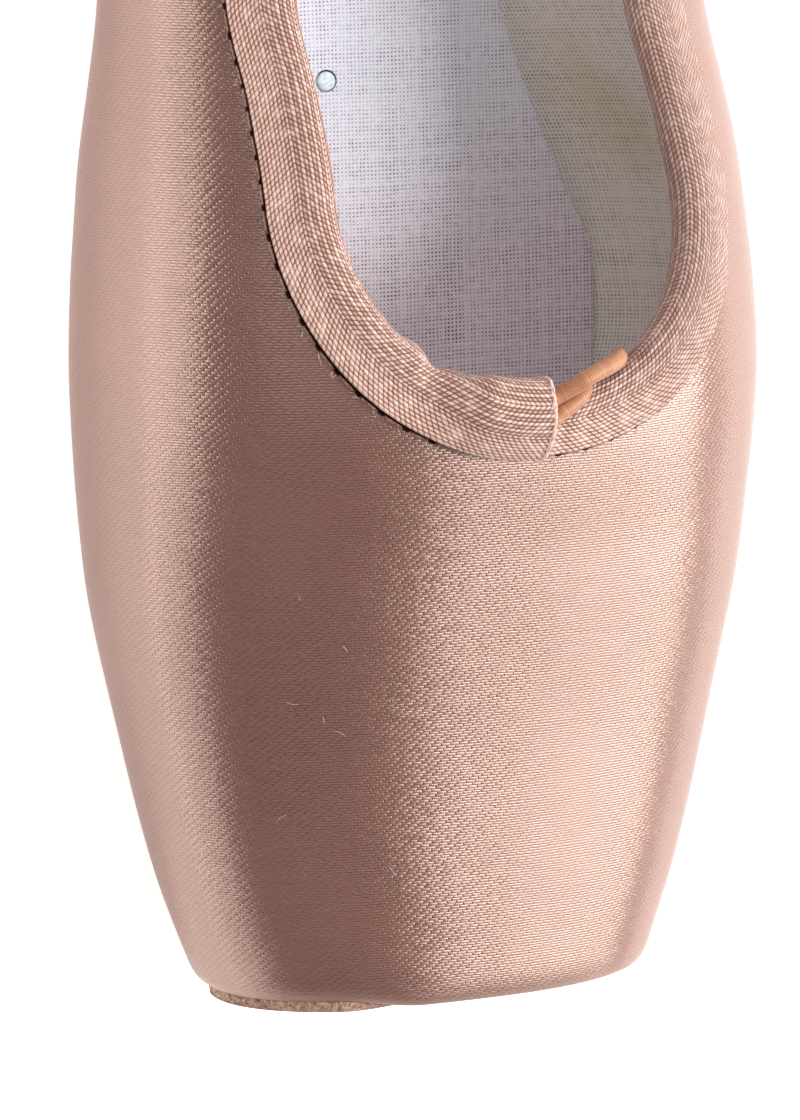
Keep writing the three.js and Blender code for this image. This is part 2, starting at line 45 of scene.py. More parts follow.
AIM = np.array([-3.114, -71.157, 22.9]) * MM
FOCAL_PIXELS = 6349.7
FRAME_PIXELS = 1120
SENSOR = 36

towards_lens = np.array([-np.sin(ROLL) * np.cos(TILT), np.sin(TILT), np.cos(ROLL) * np.cos(TILT)])
up_frame = np.array([0.0, 1.0, 0.0]) - towards_lens[1] * towards_lens
up_frame /= np.linalg.norm(up_frame)
right_frame = np.cross(up_frame, towards_lens)
right = np.cos(TWIST) * right_frame - np.sin(TWIST) * up_frame
up = np.sin(TWIST) * right_frame + np.cos(TWIST) * up_frame
eye = AIM + DISTANCE * towards_lens

camera = bpy.data.objects.new("camera", bpy.data.cameras.new("camera"))
camera.data.lens = FOCAL_PIXELS / FRAME_PIXELS * SENSOR
camera.data.sensor_width = SENSOR
camera.data.clip_end = 10
camera.matrix_world = Matrix.Translation(Vector(eye)) @ Matrix(
    [Vector(row) for row in np.array([right, up, towards_lens]).T]
).to_4x4()
bpy.context.scene.collection.objects.link(camera)
bpy.context.scene.camera = camera


# Drawstring: a thread-wrapped elastic cord in the collar's casing. Its two ends come out side by
# side from under the lapped end of the tape, go over the edge, and are tucked inside, down and
# forward onto the insole.
CORD_RADIUS = 0.95 * MM
CORD_LENGTHS = (0.0749, 0.0655)
WRAP_PITCH = 0.26 * MM
WRAP_DEPTH = 0.05 * MM
CORD_RINGS_PER_WRAP, CORD_SIDES, STEPS_A_SPAN, PATH_EVERY = 4, 18, 40, 8
CORD_END, CORD_DEPTH = 0.6 * CORD_RADIUS, 0.03 * MM
CORD_ORANGE, CORD_PEACH = (0.37, 0.135, 0.052, 1), (0.5, 0.22, 0.1, 1)
CORD_CREASE_SHADE, CORD_GLINT = (0.17, 0.055, 0.022, 1), (0.95, 0.6, 0.38, 1)
# The two routes, in metres, the same as the solids' but for how snugly they hug the tape's fold
INNER_END = [
    (-0.0012, -0.051, 0.04805),
    (0.0014, -0.0511, 0.04805),
    (0.0035, -0.0508, 0.0481),
    (0.005, -0.0501, 0.04825),
    (0.0064, -0.0493, 0.0487),
    (0.0078, -0.0485, 0.04905),
    (0.00952, -0.04789, 0.0484),
    (0.01091, -0.04757, 0.0477),
    (0.01219, -0.04737, 0.0466),
    (0.01338, -0.04728, 0.045),
    (0.01432, -0.04733, 0.0432),
    (0.01519, -0.04765, 0.0412),
    (0.01588, -0.04832, 0.0392),
    (0.01646, -0.04936, 0.0369),
    (0.01668, -0.05086, 0.0342),
    (0.0162, -0.0545, 0.0296),
    (0.014, -0.0618, 0.023),
    (0.0132, -0.066, 0.017),
    (0.0126, -0.0702, 0.0118),
    (0.0122, -0.0748, 0.0089),
    (0.0122, -0.08, 0.0083),
    (0.0126, -0.085, 0.00865),
]
OUTER_END = [
    (-0.0012, -0.0531, 0.04815),
    (0.0012, -0.0533, 0.04815),
    (0.0035, -0.0531, 0.04815),
    (0.0051, -0.0521, 0.0482),
    (0.0064, -0.0514, 0.0479),
    (0.0077, -0.0508, 0.0472),
    (0.0089, -0.0503, 0.0459),
    (0.01005, -0.0501, 0.044),
    (0.011, -0.0503, 0.0417),
    (0.01185, -0.051, 0.0394),
    (0.01245, -0.05215, 0.0369),
    (0.0127, -0.054, 0.0336),
    (0.0119, -0.0598, 0.0266),
    (0.0111, -0.0638, 0.0209),
    (0.0103, -0.0678, 0.015),
    (0.0097, -0.0722, 0.0104),
    (0.0093, -0.0772, 0.0083),
    (0.009, -0.082, 0.00845),
]


def piece(name, points, faces, uv=None):
    """A smooth mesh object at the origin. Points in one place become one vertex, a quad with two
    corners in one place becomes a triangle, and the uv stays with the corners, so a seam keeps
    both."""
    places = np.round(points / (MM / 1000)).astype(np.int64)
    _, first, which = np.unique(places, axis=0, return_index=True, return_inverse=True)
    corners = which.reshape(-1)[faces]
    keep = corners != np.roll(corners, -1, axis=1)
    whole = keep.sum(axis=1) > 2
    keep &= whole[:, None]
    mesh = bpy.data.meshes.new(name)
    mesh.vertices.add(len(first))
    mesh.vertices.foreach_set("co", points[first].ravel())
    mesh.loops.add(int(keep.sum()))
    mesh.loops.foreach_set("vertex_index", corners[keep].astype(np.int32))
    sides = keep[whole].sum(axis=1)
    mesh.polygons.add(len(sides))
    mesh.polygons.foreach_set("loop_start", np.r_[0, np.cumsum(sides)[:-1]].astype(np.int32))
    mesh.update(calc_edges=True)
    if uv is not None:
        mesh.uv_layers.new(name="cloth").uv.foreach_set("vector", uv[faces[keep]].ravel())
    mesh.validate()
    mesh.polygons.foreach_set("use_smooth", np.full(len(mesh.polygons), True))
    made = bpy.data.objects.new(name, mesh)
    bpy.context.scene.collection.objects.link(made)
    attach(made, "root")
    return made


def grid(rows, columns, around=False):
    """Quads between neighbours in a grid of points, row after row. Around joins the last column
    back to the first."""
    at = np.arange(rows * columns).reshape(rows, columns)
    if around:
        at = np.c_[at, at[:, :1]]
    return np.stack([at[:-1, :-1], at[:-1, 1:], at[1:, 1:], at[1:, :-1]], axis=-1).reshape(-1, 4)


def smooth_route(points, steps):
    """Catmull-Rom curve through the points: each span is the cubic that leaves a point in the
    direction from its neighbour before to its neighbour after. Returns steps points a span."""
    p = np.asarray(points)
    before = np.vstack([2 * p[0] - p[1], p])[: len(p) - 1, None]
    after = np.vstack([p[1:], 2 * p[-1] - p[-2]])[1:, None]
    start, end = p[:-1, None], p[1:, None]
    t = np.linspace(0, 1, steps, endpoint=False)[None, :, None]
    curve = 0.5 * (
        2 * start
        + (end - before) * t
        + (2 * before - 5 * start + 4 * end - after) * t**2
        + (3 * start - before - 3 * end + after) * t**3
    )
    return np.vstack([curve.reshape(-1, p.shape[1]), p[-1]])


def unit(vectors):
    """Each vector over its own length."""
    return vectors / np.linalg.norm(vectors, axis=-1, keepdims=True)


def along_route(route, spacing):
    """The route resampled evenly, and at each point its direction and two directions square to
    it, which turn as little as they can along the way."""
    reach = np.r_[0, np.cumsum(np.linalg.norm(np.diff(route, axis=0), axis=1))]
    even = np.linspace(0, reach[-1], int(reach[-1] / spacing) + 1)
    points = np.stack([np.interp(even, reach, route[:, k]) for k in range(3)], axis=1)
    forward = unit(np.gradient(points, axis=0))
    side = np.cross(forward, [0.0, 0.0, 1.0])
    flat = np.linalg.norm(side, axis=1, keepdims=True)
    side = np.where(flat > 0.05, side / np.maximum(flat, 0.05), [1.0, 0.0, 0.0])
    return even, points, forward, side, np.cross(side, forward)


def tube_rings(middle, side, lift, radius, angle):
    """Rings of points round a line: the middle, plus the radius times the cosine of the angle to
    the side, and times its sine upwards."""
    cosine, sine = np.cos(angle)[:, None], np.sin(angle)[:, None]
    around = cosine * side[..., None, :] + sine * lift[..., None, :]
    return middle[..., None, :] + radius[..., None] * around


def round_ends(reach, rounding):
    """A quarter circle at each end of a line: 0 at the end, 1 from the rounding inwards."""
    end = np.minimum(reach, reach[-1] - reach)
    return np.sqrt(1 - (1 - np.clip(end / rounding, 0, 1)) ** 2)[:, None]


def wrapped_cord(name, solid, points):
    """A tube along the route whose radius swells at each turn of the wrapping thread, which winds
    round it as a fine helix, and closes over its cut ends."""
    route = smooth_route(points, STEPS_A_SPAN)
    reach, middle, _, side, lift = along_route(route, WRAP_PITCH / CORD_RINGS_PER_WRAP)
    angle = np.linspace(0, 2 * np.pi, CORD_SIDES, endpoint=False)
    turn = 2 * np.pi * reach[:, None] / WRAP_PITCH + angle
    radius = CORD_RADIUS - WRAP_DEPTH * (1 - np.abs(np.cos(turn / 2)))
    tube = tube_rings(middle, side, lift, radius * round_ends(reach, CORD_END), angle)
    uv = np.stack(np.broadcast_arrays(reach[:, None], CORD_RADIUS * angle[None]), axis=-1)
    faces = grid(len(reach), CORD_SIDES, around=True)[:, ::-1]
    made = piece(name, tube.reshape(-1, 3), faces, uv.reshape(-1, 2))
    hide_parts(solid)
    return made


def material(name, **constants):
    """A new node material. Returns it, its node tree and its shader, with the constants set."""
    made = bpy.data.materials.new(name)
    made.use_nodes = True
    shader = made.node_tree.nodes["Principled BSDF"]
    for socket, value in constants.items():
        shader.inputs[socket.replace("_", " ")].default_value = value
    return made, made.node_tree, shader


def node(tree, kind, *inputs, **settings):
    """The first output of a new node. Its inputs, in order, take values or other outputs."""
    made = tree.nodes.new(kind)
    for setting, value in settings.items():
        setattr(made, setting, value)
    for socket, value in zip(made.inputs, inputs):
        if isinstance(value, bpy.types.NodeSocket):
            tree.links.new(value, socket)
        elif value is not None:
            socket.default_value = value
    return made.outputs[0]


def reckon(tree, operation, *values):
    """A number worked out from others."""
    return node(tree, "ShaderNodeMath", *values, operation=operation)


def between(tree, share, low, high):
    """The colour a share of the way from low to high."""
    made = tree.nodes.new("ShaderNodeMix")
    made.data_type = "RGBA"
    for socket, value in zip((made.inputs[0], made.inputs[6], made.inputs[7]), (share, low, high)):
        if isinstance(value, bpy.types.NodeSocket):
            tree.links.new(value, socket)
        else:
            socket.default_value = value
    return made.outputs[2]


def ramp(tree, value, low, high, to_low=0.0, to_high=1.0):
    """A value carried smoothly from one range to another, and held at its ends."""
    return node(
        tree, "ShaderNodeMapRange", value, low, high, to_low, to_high, interpolation_type="SMOOTHSTEP"
    )


def finish(tree, shader, colour, height, depth):
    """Joins a material's colour to its shader, and its height as a bump of so many metres."""
    tree.links.new(colour, shader.inputs["Base Color"])
    bump = tree.nodes.new("ShaderNodeBump")
    bump.inputs["Distance"].default_value = depth
    tree.links.new(height, bump.inputs["Height"])
    tree.links.new(bump.outputs[0], shader.inputs["Normal"])


def noise(tree, place, scale, detail=2.0, roughness=0.5):
    """Noise of so many patches a metre on the place."""
    return node(tree, "ShaderNodeTexNoise", place, None, scale, detail, roughness)


def stretched(tree, place, *scales):
    """The place with each axis scaled."""
    return node(tree, "ShaderNodeMapping", place, None, None, scales)


def cloth_place(tree):
    """The place on a piece's own cloth: across it and along it, in metres."""
    return node(tree, "ShaderNodeUVMap", uv_map="cloth")


def object_place(tree):
    """The place in the whole shoe, in metres."""
    return tree.nodes.new("ShaderNodeTexCoord").outputs["Object"]


def split(tree, place):
    """The first two numbers of a place."""
    made = tree.nodes.new("ShaderNodeSeparateXYZ")
    tree.links.new(place, made.inputs[0])
    return made.outputs[0], made.outputs[1]


def cells(tree, value, pitch):
    """Which cell of that pitch a value is in, and how far through the cell it is."""
    count = reckon(tree, "DIVIDE", value, pitch)
    return reckon(tree, "FLOOR", count), reckon(tree, "FRACT", count)


def arch(tree, share, power=1.0):
    """0 at both ends of a cell and 1 in its middle: a power of the sine of half a turn."""
    return reckon(tree, "POWER", reckon(tree, "SINE", reckon(tree, "MULTIPLY", share, np.pi)), power)


def chance(tree, *cell):
    """A number from 0 to 1 that belongs to a cell."""
    return node(tree, "ShaderNodeTexWhiteNoise", node(tree, "ShaderNodeCombineXYZ", *cell))


# The wrapping thread is peach-orange rayon. Painted shade darkens the creases between its turns, so it
# looks a little lighter on their crowns, and a few turns at random carry a painted glint.
cord_material, tree, shader = material("drawstring_thread", Roughness=0.5, Sheen_Weight=0.2)
place = cloth_place(tree)
turn, in_turn = cells(tree, split(tree, place)[0], WRAP_PITCH)
crown = arch(tree, in_turn)
fibres = noise(tree, stretched(tree, place, 9000, 700, 1), 1, 3)
patches = noise(tree, stretched(tree, place, 260, 60, 1), 1)
thread = between(tree, patches, CORD_ORANGE, CORD_PEACH)
# Painted shade in the creases between the turns
thread = between(tree, ramp(tree, crown, 0.1, 0.8, 0.5, 0), thread, CORD_CREASE_SHADE)
# Painted glint: a few turns at random are lightened towards a highlight colour
thread = between(tree, ramp(tree, chance(tree, turn), 0.6, 1, 0, 0.12), thread, CORD_GLINT)
finish(tree, shader, thread, reckon(tree, "ADD", crown, fibres), CORD_DEPTH)
for which, route, length in zip(("inner", "outer"), (INNER_END, OUTER_END), CORD_LENGTHS):
    cord = wrapped_cord(which + "_cord_end", "drawstring_" + which, route)
    cord.data.materials.append(cord_material)


# Satin upper: dusky pink satin over canvas, pulled over the last wet with paste, so that the toe
# sets into a hard box with a flat platform. Its margin is pleated under the toe.
OVERALL_LENGTH = 238 * MM
GAP = 0.3 * MM
TIP_THICKNESS = 1.2 * MM
PLATFORM_Y = -OVERALL_LENGTH / 2 + TIP_THICKNESS + GAP
LENGTH = OVERALL_LENGTH - TIP_THICKNESS - GAP
HEEL_RADIUS = 30 * MM
HEEL_START = LENGTH - HEEL_RADIUS
HEEL_ROUNDNESS = 2.2
HEEL_FLAT_SHARE = 0.66
FLOOR_TO_UPPER = 2.9 * MM
FLOOR_WALL = 1.6 * MM
PLATFORM_WALL = 3.5 * MM
EDGE_RADIUS = 2 * MM
SIDE_POWER, CROWN_POWER, BELLY_POWER = 2.5, 2, 2.6
THROAT_S, THROAT_END_S, THROAT_POWER = 65.4 * MM, 88 * MM, 2.1
SIDE_SEAM_S, SEAM_HALF, SEAM_GROOVE = 130 * MM, 0.8 * MM, 0.28 * MM
# Toe spring and arch: how high, where along the shoe, over what length or how sharply. Wall: its
# thickness in the box and what it loses, both in millimetres, where, and over what length
SPRING_RISE, SPRING_END_S, SPRING_POWER = 4.9 * MM, 45 * MM, 1.6
ARCH_RISE, ARCH_S, ARCH_LENGTH = 4 * MM, 108 * MM, 78 * MM
WALL_BOX, WALL_LOSS, WALL_S, WALL_FADE = 2.8, 1.1, 50 * MM, 22 * MM
# The heel's lean: its widest height, how far above and below it, where, and how far it leans
LEAN_Z, LEAN_ABOVE, LEAN_BELOW, LEAN_S, LEAN_LENGTH = 20 * MM, 34 * MM, 17 * MM, 190 * MM, 46.5 * MM
LEAN_TOP, LEAN_UNDER = 3.5 * MM, 4.5 * MM
# Rows of the skin: round a quarter turn, and along the box, the side, a side seam and the back one
ROUND_ROWS, EDGE_EVERY, BOX_ROWS, SIDE_ROWS, SEAM_ROWS, BACK_ROWS = 25, 4, 76, 130, 9, 5
SATIN_COLUMNS, SATIN_THICKNESS, FINE_STEPS = 86, 0.7 * MM, 500
# Rows that close the platform, the power that keeps them flat to its edge, and their cloth's length
FLAT_ROWS, FLAT_POWER, FLAT_CLOTH, FLAT_MIDDLE = 16, 6, 30 * MM, 0.6
# The hole in the floor: how far inside the flat underside, how high, and from where to where
FLOOR_HOLE_IN, FLOOR_HOLE_UP, FLOOR_HOLE_S = 6.5 * MM, 2.5 * MM, (30 * MM, 224 * MM)
# How far the satin's edge is rolled forward round the tip, the share of that where the suede
# shows, and where on the left it starts to show
LIP_RISE, LIP_AT_PAD = 1.35 * MM, 0.3
PAD_SHOWS_X, PAD_FADE = -6 * MM, 9 * MM
# The canvas's low waves: their height, their lengths over two pi, and how they fade at both ends
WAVE_RISE = 0.014 * MM
WAVE_A, WAVE_B = (4.1 * MM, 9 * MM, 6.3 * MM), (2.6 * MM, 5 * MM, 3.7 * MM)
WAVE_FADE_TOE, WAVE_FADE_HEEL = 8 * MM, 12 * MM
# The pleats under the toe: the point they run to, how many in half a turn, how unevenly, how deep
# and sharp, how high up the sides and how far back
PLEAT_CENTRE_S, PLEATS, PLEAT_SWAY, PLEAT_SWAYS = 34 * MM, 13, 0.6, 5
PLEAT_DEPTH, PLEAT_POWER, PLEAT_RISE, PLEAT_REACH = 0.7 * MM, 1.5, 9 * MM, 24 * MM
# Section rows: distance behind the platform, half width, crown height, height of the widest
# point, half width of the flat underside, all in millimetres
LAST = MM * np.array([
    (0, 26.3, 35.9, 20.2, 12),
    (12, 30.5, 37.1, 20.2, 16.5),
    (28, 34.3, 38.9, 20.5, 21),
    (48, 38, 42.5, 21.2, 25.5),
    (68, 39.2, 46.2, 22, 27.5),
    (88, 37.8, 44.6, 21.2, 23),
    (108, 34.5, 39.2, 19.6, 18),
    (128, 32.6, 35.2, 18.4, 15.5),
    (150, 31, 35.9, 17.6, 15),
    (174, 29.2, 41.6, 17.6, 16.5),
    (198, 28, 51.1, 17.6, 18),
    (216, 27.6, 57.6, 18.1, 18),
    (236.5, 27.6, 60.6, 18.6, 18),
])
# Opening rows: distance behind the platform, share of the half width, shift to the right
COLLAR = np.array([
    (65.4 * MM, 0.606, 3.8 * MM),
    (76 * MM, 0.606, 3.4 * MM),
    (88 * MM, 0.606, 2.4 * MM),
    (100 * MM, 0.62, 1.2 * MM),
    (110 * MM, 0.64, 0),
    (128 * MM, 0.667, 0),
    (150 * MM, 0.69, 0),
    (175 * MM, 0.7, 0),
    (200 * MM, 0.68, 0),
    (236.5 * MM, 0.68, 0),
])


def through(rows, column):
    """A smooth curve through a column of rows that never overshoots: cubic pieces whose slopes
    are the harmonic means of the slopes on either side."""
    s, value = rows[:, 0], rows[:, column]
    slope = np.diff(value) / np.diff(s)
    same = slope[:-1] * slope[1:] > 0
    total = np.where(same, slope[:-1] + slope[1:], 1)
    inner = np.where(same, 2 * slope[:-1] * slope[1:] / total, 0)
    tangent = np.r_[slope[0], inner, slope[-1]]

    def curve(where):
        at = np.clip(where, s[0], s[-1])
        i = np.clip(np.searchsorted(s, at, side="right") - 1, 0, len(s) - 2)
        span = s[i + 1] - s[i]
        t = (at - s[i]) / span
        rise = 3 * t**2 - 2 * t**3
        bend = tangent[i] * t * (1 - t) ** 2 - tangent[i + 1] * t**2 * (1 - t)
        return value[i] * (1 - rise) + value[i + 1] * rise + span * bend

    return curve


def ease(t):
    """From 0 to 1 as t does, level at both ends."""
    t = np.clip(t, 0, 1)
    return 3 * t**2 - 2 * t**3


def bell(t):
    """A smooth hump: 1 in the middle, 0 from -1 and 1 outwards."""
    return ease(1 - np.abs(t))


last_half, last_crown, last_widest, last_flat = (through(LAST, k) for k in range(1, 5))
collar_share, collar_shift = through(COLLAR, 1), through(COLLAR, 2)


def underside(s):
    """Height of the upper's underside: toe spring, flat tread, arch, and flat heel."""
    spring = SPRING_RISE * np.maximum(0, 1 - s / SPRING_END_S) ** SPRING_POWER
    along = np.clip((s - ARCH_S) / ARCH_LENGTH, 0, 1)
    return FLOOR_TO_UPPER + spring + ARCH_RISE * np.sin(np.pi * along) ** 2


def wall(s):
    """Thickness of the wall, from the hard box to the soft sides."""
    return MM * (WALL_BOX - WALL_LOSS * ease((s - WALL_S) / WALL_FADE))


def heel_lean(s, z):
    """How far the heel leans forward above its widest height, and tucks under below it."""
    above = np.maximum(0, z - LEAN_Z) / LEAN_ABOVE
    below = np.maximum(0, LEAN_Z - z) / LEAN_BELOW
    return ease((s - LEAN_S) / LEAN_LENGTH) * (LEAN_TOP * above**2 + LEAN_UNDER * below**2)


def section(s, inwards):
    """Half widths before and after the heel closes them in, how far round the heel the section
    is, its middle and lowest height, depth and crown. Inwards is 0 for the outside of the upper
    and 1 for the inside."""
    thick = inwards * wall(s)
    edge = EDGE_RADIUS * (1 - inwards / 2)
    front = inwards * PLATFORM_WALL
    short = np.clip(edge - (s - front), 0, edge)
    inset = edge - np.sqrt(edge**2 - short**2)
    turn = np.maximum(0, (s - HEEL_START) / (HEEL_RADIUS - thick))
    close = np.maximum(0, 1 - turn**HEEL_ROUNDNESS) ** (1 / HEEL_ROUNDNESS)
    full = last_half(s) - thick - inset
    half = full * close
    low = underside(s) + inwards * FLOOR_WALL + inset
    flat = np.minimum(last_flat(s) - thick / 2 - inset, HEEL_FLAT_SHARE * half)
    share = np.where(half > 0, flat / np.maximum(half, MM / 100), HEEL_FLAT_SHARE)
    middle = last_widest(s)
    belly = (middle - low) / (1 - share**SIDE_POWER) ** (1 / BELLY_POWER)
    return full, turn, half, middle, low, belly, last_crown(s) - thick - inset


def on_last(s, angle, inwards=0.0):
    """Point of a section at an angle from its right-hand widest point, on a squared oval whose
    lower half is cut off flat, moved forward by the lean of the heel."""
    _, _, half, middle, low, belly, crown = section(s, inwards)
    across, rise = np.cos(angle), np.sin(angle)
    x = half * np.sign(across) * np.abs(across) ** (2 / SIDE_POWER)
    over = middle + (crown - middle) * np.abs(rise) ** (2 / CROWN_POWER)
    under = np.maximum(low, middle - belly * np.abs(rise) ** (2 / BELLY_POWER))
    z = np.where(rise >= 0, over, under)
    return np.stack(np.broadcast_arrays(x, PLATFORM_Y + s - heel_lean(s, z), z), axis=-1)


def opening_angles(s):
    """Angles of the right and left edges of the opening in each section. In front of the throat
    both are the angle of its middle line."""
    outside = section(s, 0.0)[2]
    forward = np.clip((THROAT_END_S - s) / (THROAT_END_S - THROAT_S), 0, 1)
    round_half = collar_share(THROAT_END_S) * last_half(THROAT_END_S)
    round_half = round_half * (1 - forward**THROAT_POWER) ** (1 / THROAT_POWER)
    wide = np.maximum(outside, MM / 100)
    shares = np.where(s < THROAT_END_S, round_half / wide, collar_share(s))
    angles = []
    for side in (1, -1):
        share = np.clip(collar_shift(s) / wide + side * shares, -1, 1)
        angles.append(np.arccos(np.sign(share) * np.abs(share) ** (SIDE_POWER / 2)))
    return angles


def lengthwise():
    """Stations along the shoe: close at the platform's edge, round the throat and round the
    heel, even between."""
    quarter = np.linspace(0, np.pi / 2, ROUND_ROWS)
    edge = EDGE_RADIUS * (1 - np.cos(quarter[::EDGE_EVERY]))
    box = np.linspace(EDGE_RADIUS, THROAT_S, BOX_ROWS)[1:]
    throat = THROAT_END_S - (THROAT_END_S - THROAT_S) * np.cos(quarter) ** (2 / THROAT_POWER)
    side = np.linspace(THROAT_END_S, HEEL_START, SIDE_ROWS)[1:]
    seam = np.linspace(SIDE_SEAM_S - SEAM_HALF, SIDE_SEAM_S + SEAM_HALF, SEAM_ROWS)
    side = np.unique(np.r_[side, seam])
    across = np.r_[np.cos(quarter[1:-1]), np.linspace(SEAM_HALF, 0, BACK_ROWS) / last_half(LENGTH)]
    heel = HEEL_START + HEEL_RADIUS * (1 - across**HEEL_ROUNDNESS) ** (1 / HEEL_ROUNDNESS)
    return np.r_[edge, box, throat[1:], side, heel]


def half_skin(s, inwards, side, columns):
    """One side of a skin of the shoe, from the edge of the opening, or the top middle line in
    front of it, down to the middle of the sole: each row is one section, sampled evenly along its
    own length. Returns points, and for each the distance across the cloth, from the crown, and
    along it, from the platform, round the toe's edge and the heel."""
    edge = opening_angles(s)[0 if side > 0 else 1]
    start = edge if side > 0 else edge - 2 * np.pi
    fine = np.linspace(0, 1, FINE_STEPS)
    crown = np.pi / 2 if side > 0 else -1.5 * np.pi
    lead = on_last(s[:, None], crown + (start - crown)[:, None] * fine, inwards)
    lead = np.linalg.norm(np.diff(lead, axis=1), axis=2).sum(axis=1) * np.sign(crown - start)
    line = on_last(s[:, None], start[:, None] + (-np.pi / 2 - start)[:, None] * fine, inwards)
    reach = np.cumsum(np.linalg.norm(np.diff(line, axis=1, prepend=line[:, :1]), axis=2), axis=1)
    share = np.linspace(0, 1, columns)
    rows = [
        np.stack([np.interp(share, r / max(r[-1], 1e-9), xyz[:, k]) for k in range(3)], axis=1)
        for r, xyz in zip(reach, line)
    ]
    across = lead[:, None] + side * share * reach[:, -1:]
    ahead = s - LIP_RISE * ease(1 - s / EDGE_RADIUS)
    rounded = np.diff(section(s, 0.0)[2]) * ((s[1:] > HEEL_START) | (s[1:] < EDGE_RADIUS))
    along = np.r_[0, np.cumsum(np.hypot(np.diff(ahead), rounded))]
    along += EDGE_RADIUS - np.interp(EDGE_RADIUS, s, along)
    return np.array(rows), np.stack(np.broadcast_arrays(across, along[:, None]), axis=-1)


def normals_of(points):
    """Directions square to a grid of points: the cross product of its two slopes."""
    square = np.cross(np.gradient(points, axis=0), np.gradient(points, axis=1))
    return square / np.maximum(np.linalg.norm(square, axis=2, keepdims=True), 1e-12)


def skin(name, inwards, columns, relief, lip):
    """The two halves of a skin, moved out by its relief and forward by its lip, and joined where
    they meet. The flat of the platform is closed by rows that shrink to its middle, and the skin
    is left open over the middle of the sole."""
    s = lengthwise()
    heel_share = 1 - inwards * wall(LENGTH) / HEEL_RADIUS
    s = np.where(s > HEEL_START, HEEL_START + (s - HEEL_START) * heel_share, s)
    halves = []
    for side in (1, -1):
        place, uv = half_skin(s, inwards, side, columns)
        out = -side * normals_of(place)
        forward = np.array([0, -1, 0]) * lip(place)[..., None]
        halves.append((place + out * relief(place, uv)[..., None] + forward, uv))
    right, left = halves[0][0], halves[1][0]
    for shared in (np.s_[:, -1], np.s_[-1], np.s_[: np.sum(s <= THROAT_S), 0]):
        right[shared] = left[shared] = (right[shared] + left[shared]) / 2
    points, uvs, faces, count = [], [], [], 0
    for side, (place, uv) in zip((1, -1), halves):
        middle = np.array([0, PLATFORM_Y + inwards * PLATFORM_WALL, FLAT_MIDDLE * last_widest(0.0)])
        shrink = np.linspace(0, 1, FLAT_ROWS + 1)[:-1, None, None]
        level = shrink ** np.array([1, FLAT_POWER, 1])
        place = np.concatenate([middle + (place[0] - middle) * level, place])
        uv = np.concatenate([uv[0] - (1 - shrink) * np.r_[0, FLAT_CLOTH], uv])
        quads = grid(len(place), columns)
        flat = place.reshape(-1, 3)
        at = flat[:, 1] - PLATFORM_Y
        inner = np.abs(flat[:, 0]) < last_flat(at) - FLOOR_HOLE_IN
        inner &= flat[:, 2] < underside(at) + FLOOR_HOLE_UP
        inner &= (at > FLOOR_HOLE_S[0]) & (at < FLOOR_HOLE_S[1])
        quads = quads[~inner[quads].all(axis=1)]
        points.append(flat)
        uvs.append(uv.reshape(-1, 2))
        faces.append((quads if side > 0 else quads[:, ::-1]) + count)
        count += len(flat)
    return piece(name, np.vstack(points), np.vstack(faces), np.vstack(uvs))


def thicken(made, thickness, outwards=False):
    """Gives a sheet its thickness, inwards from its face or outwards from its back."""
    solid = made.modifiers.new("thickness", "SOLIDIFY")
    solid.thickness = thickness
    solid.offset = 1 if outwards else -1


def pad_shows(x):
    """Where the suede tip reaches the platform's edge: 1 on the left of the toe, 0 elsewhere."""
    return ease((PAD_SHOWS_X - x) / PAD_FADE)


def tip_lip(place):
    """How far forward the satin's edge is rolled round the tip, most where it hides the tip."""
    hides = LIP_AT_PAD + (1 - LIP_AT_PAD) * (1 - pad_shows(place[..., 0]))
    return LIP_RISE * hides * ease(1 - (place[..., 1] - PLATFORM_Y) / EDGE_RADIUS)


def satin_relief(place, uv):
    """How far the satin stands off the smooth last: two low waves of the canvas under it, each a
    product of sines, less the grooves of the side seams and the back seam, and less the pleats of
    its margin, sharp sines of the angle round a point under the toe, which fade up the sides."""
    s = place[..., 1] - PLATFORM_Y
    over = place[..., 2] - underside(np.maximum(s, 0))
    round_toe = np.arctan2(place[..., 0], PLEAT_CENTRE_S - s)
    fold = np.abs(np.sin(round_toe * PLEATS + PLEAT_SWAY * np.sin(round_toe * PLEAT_SWAYS)))
    low = ease(1 - over / PLEAT_RISE) * ease(1 - (s - PLEAT_CENTRE_S) / PLEAT_REACH)
    across, along = uv[..., 0], uv[..., 1]
    wave = np.sin(across / WAVE_A[0] + 1.3 * np.sin(along / WAVE_A[1])) * np.sin(along / WAVE_A[2] + 2)
    wave += np.sin(across / WAVE_B[0] + along / WAVE_B[1]) * np.sin(along / WAVE_B[2])
    wave *= WAVE_RISE * ease(s / WAVE_FADE_TOE) * ease((LENGTH - s) / WAVE_FADE_HEEL)
    groove = SEAM_GROOVE * bell((s - SIDE_SEAM_S) / SEAM_HALF)
    groove = groove + SEAM_GROOVE * bell(place[..., 0] / SEAM_HALF) * (s > HEEL_START)
    return wave - groove - PLEAT_DEPTH * low * (1 - fold) ** PLEAT_POWER


# The weave: weft floats lie side by side in fine rows across the shoe. Each ends where it dips under
# a warp thread, a step further on in every row, and leans its own way, which makes the satin glint.
ROW_PITCH, ROW_WAVER = 0.295 * MM, 1.2
FLOAT_LENGTH, FLOAT_SHIFT, FLOAT_LEAN = 1.08 * MM, 0.16, 1.35
ROW_STEP = 0.66
WEAVE_DEPTH = 0.036 * MM
SATIN_GROOVE_SHADE, SATIN_LIGHT = (0.04, 0.01, 0.007, 1), (0.19, 0.066, 0.048, 1)
SATIN_FADED = (0.17, 0.068, 0.05, 1)

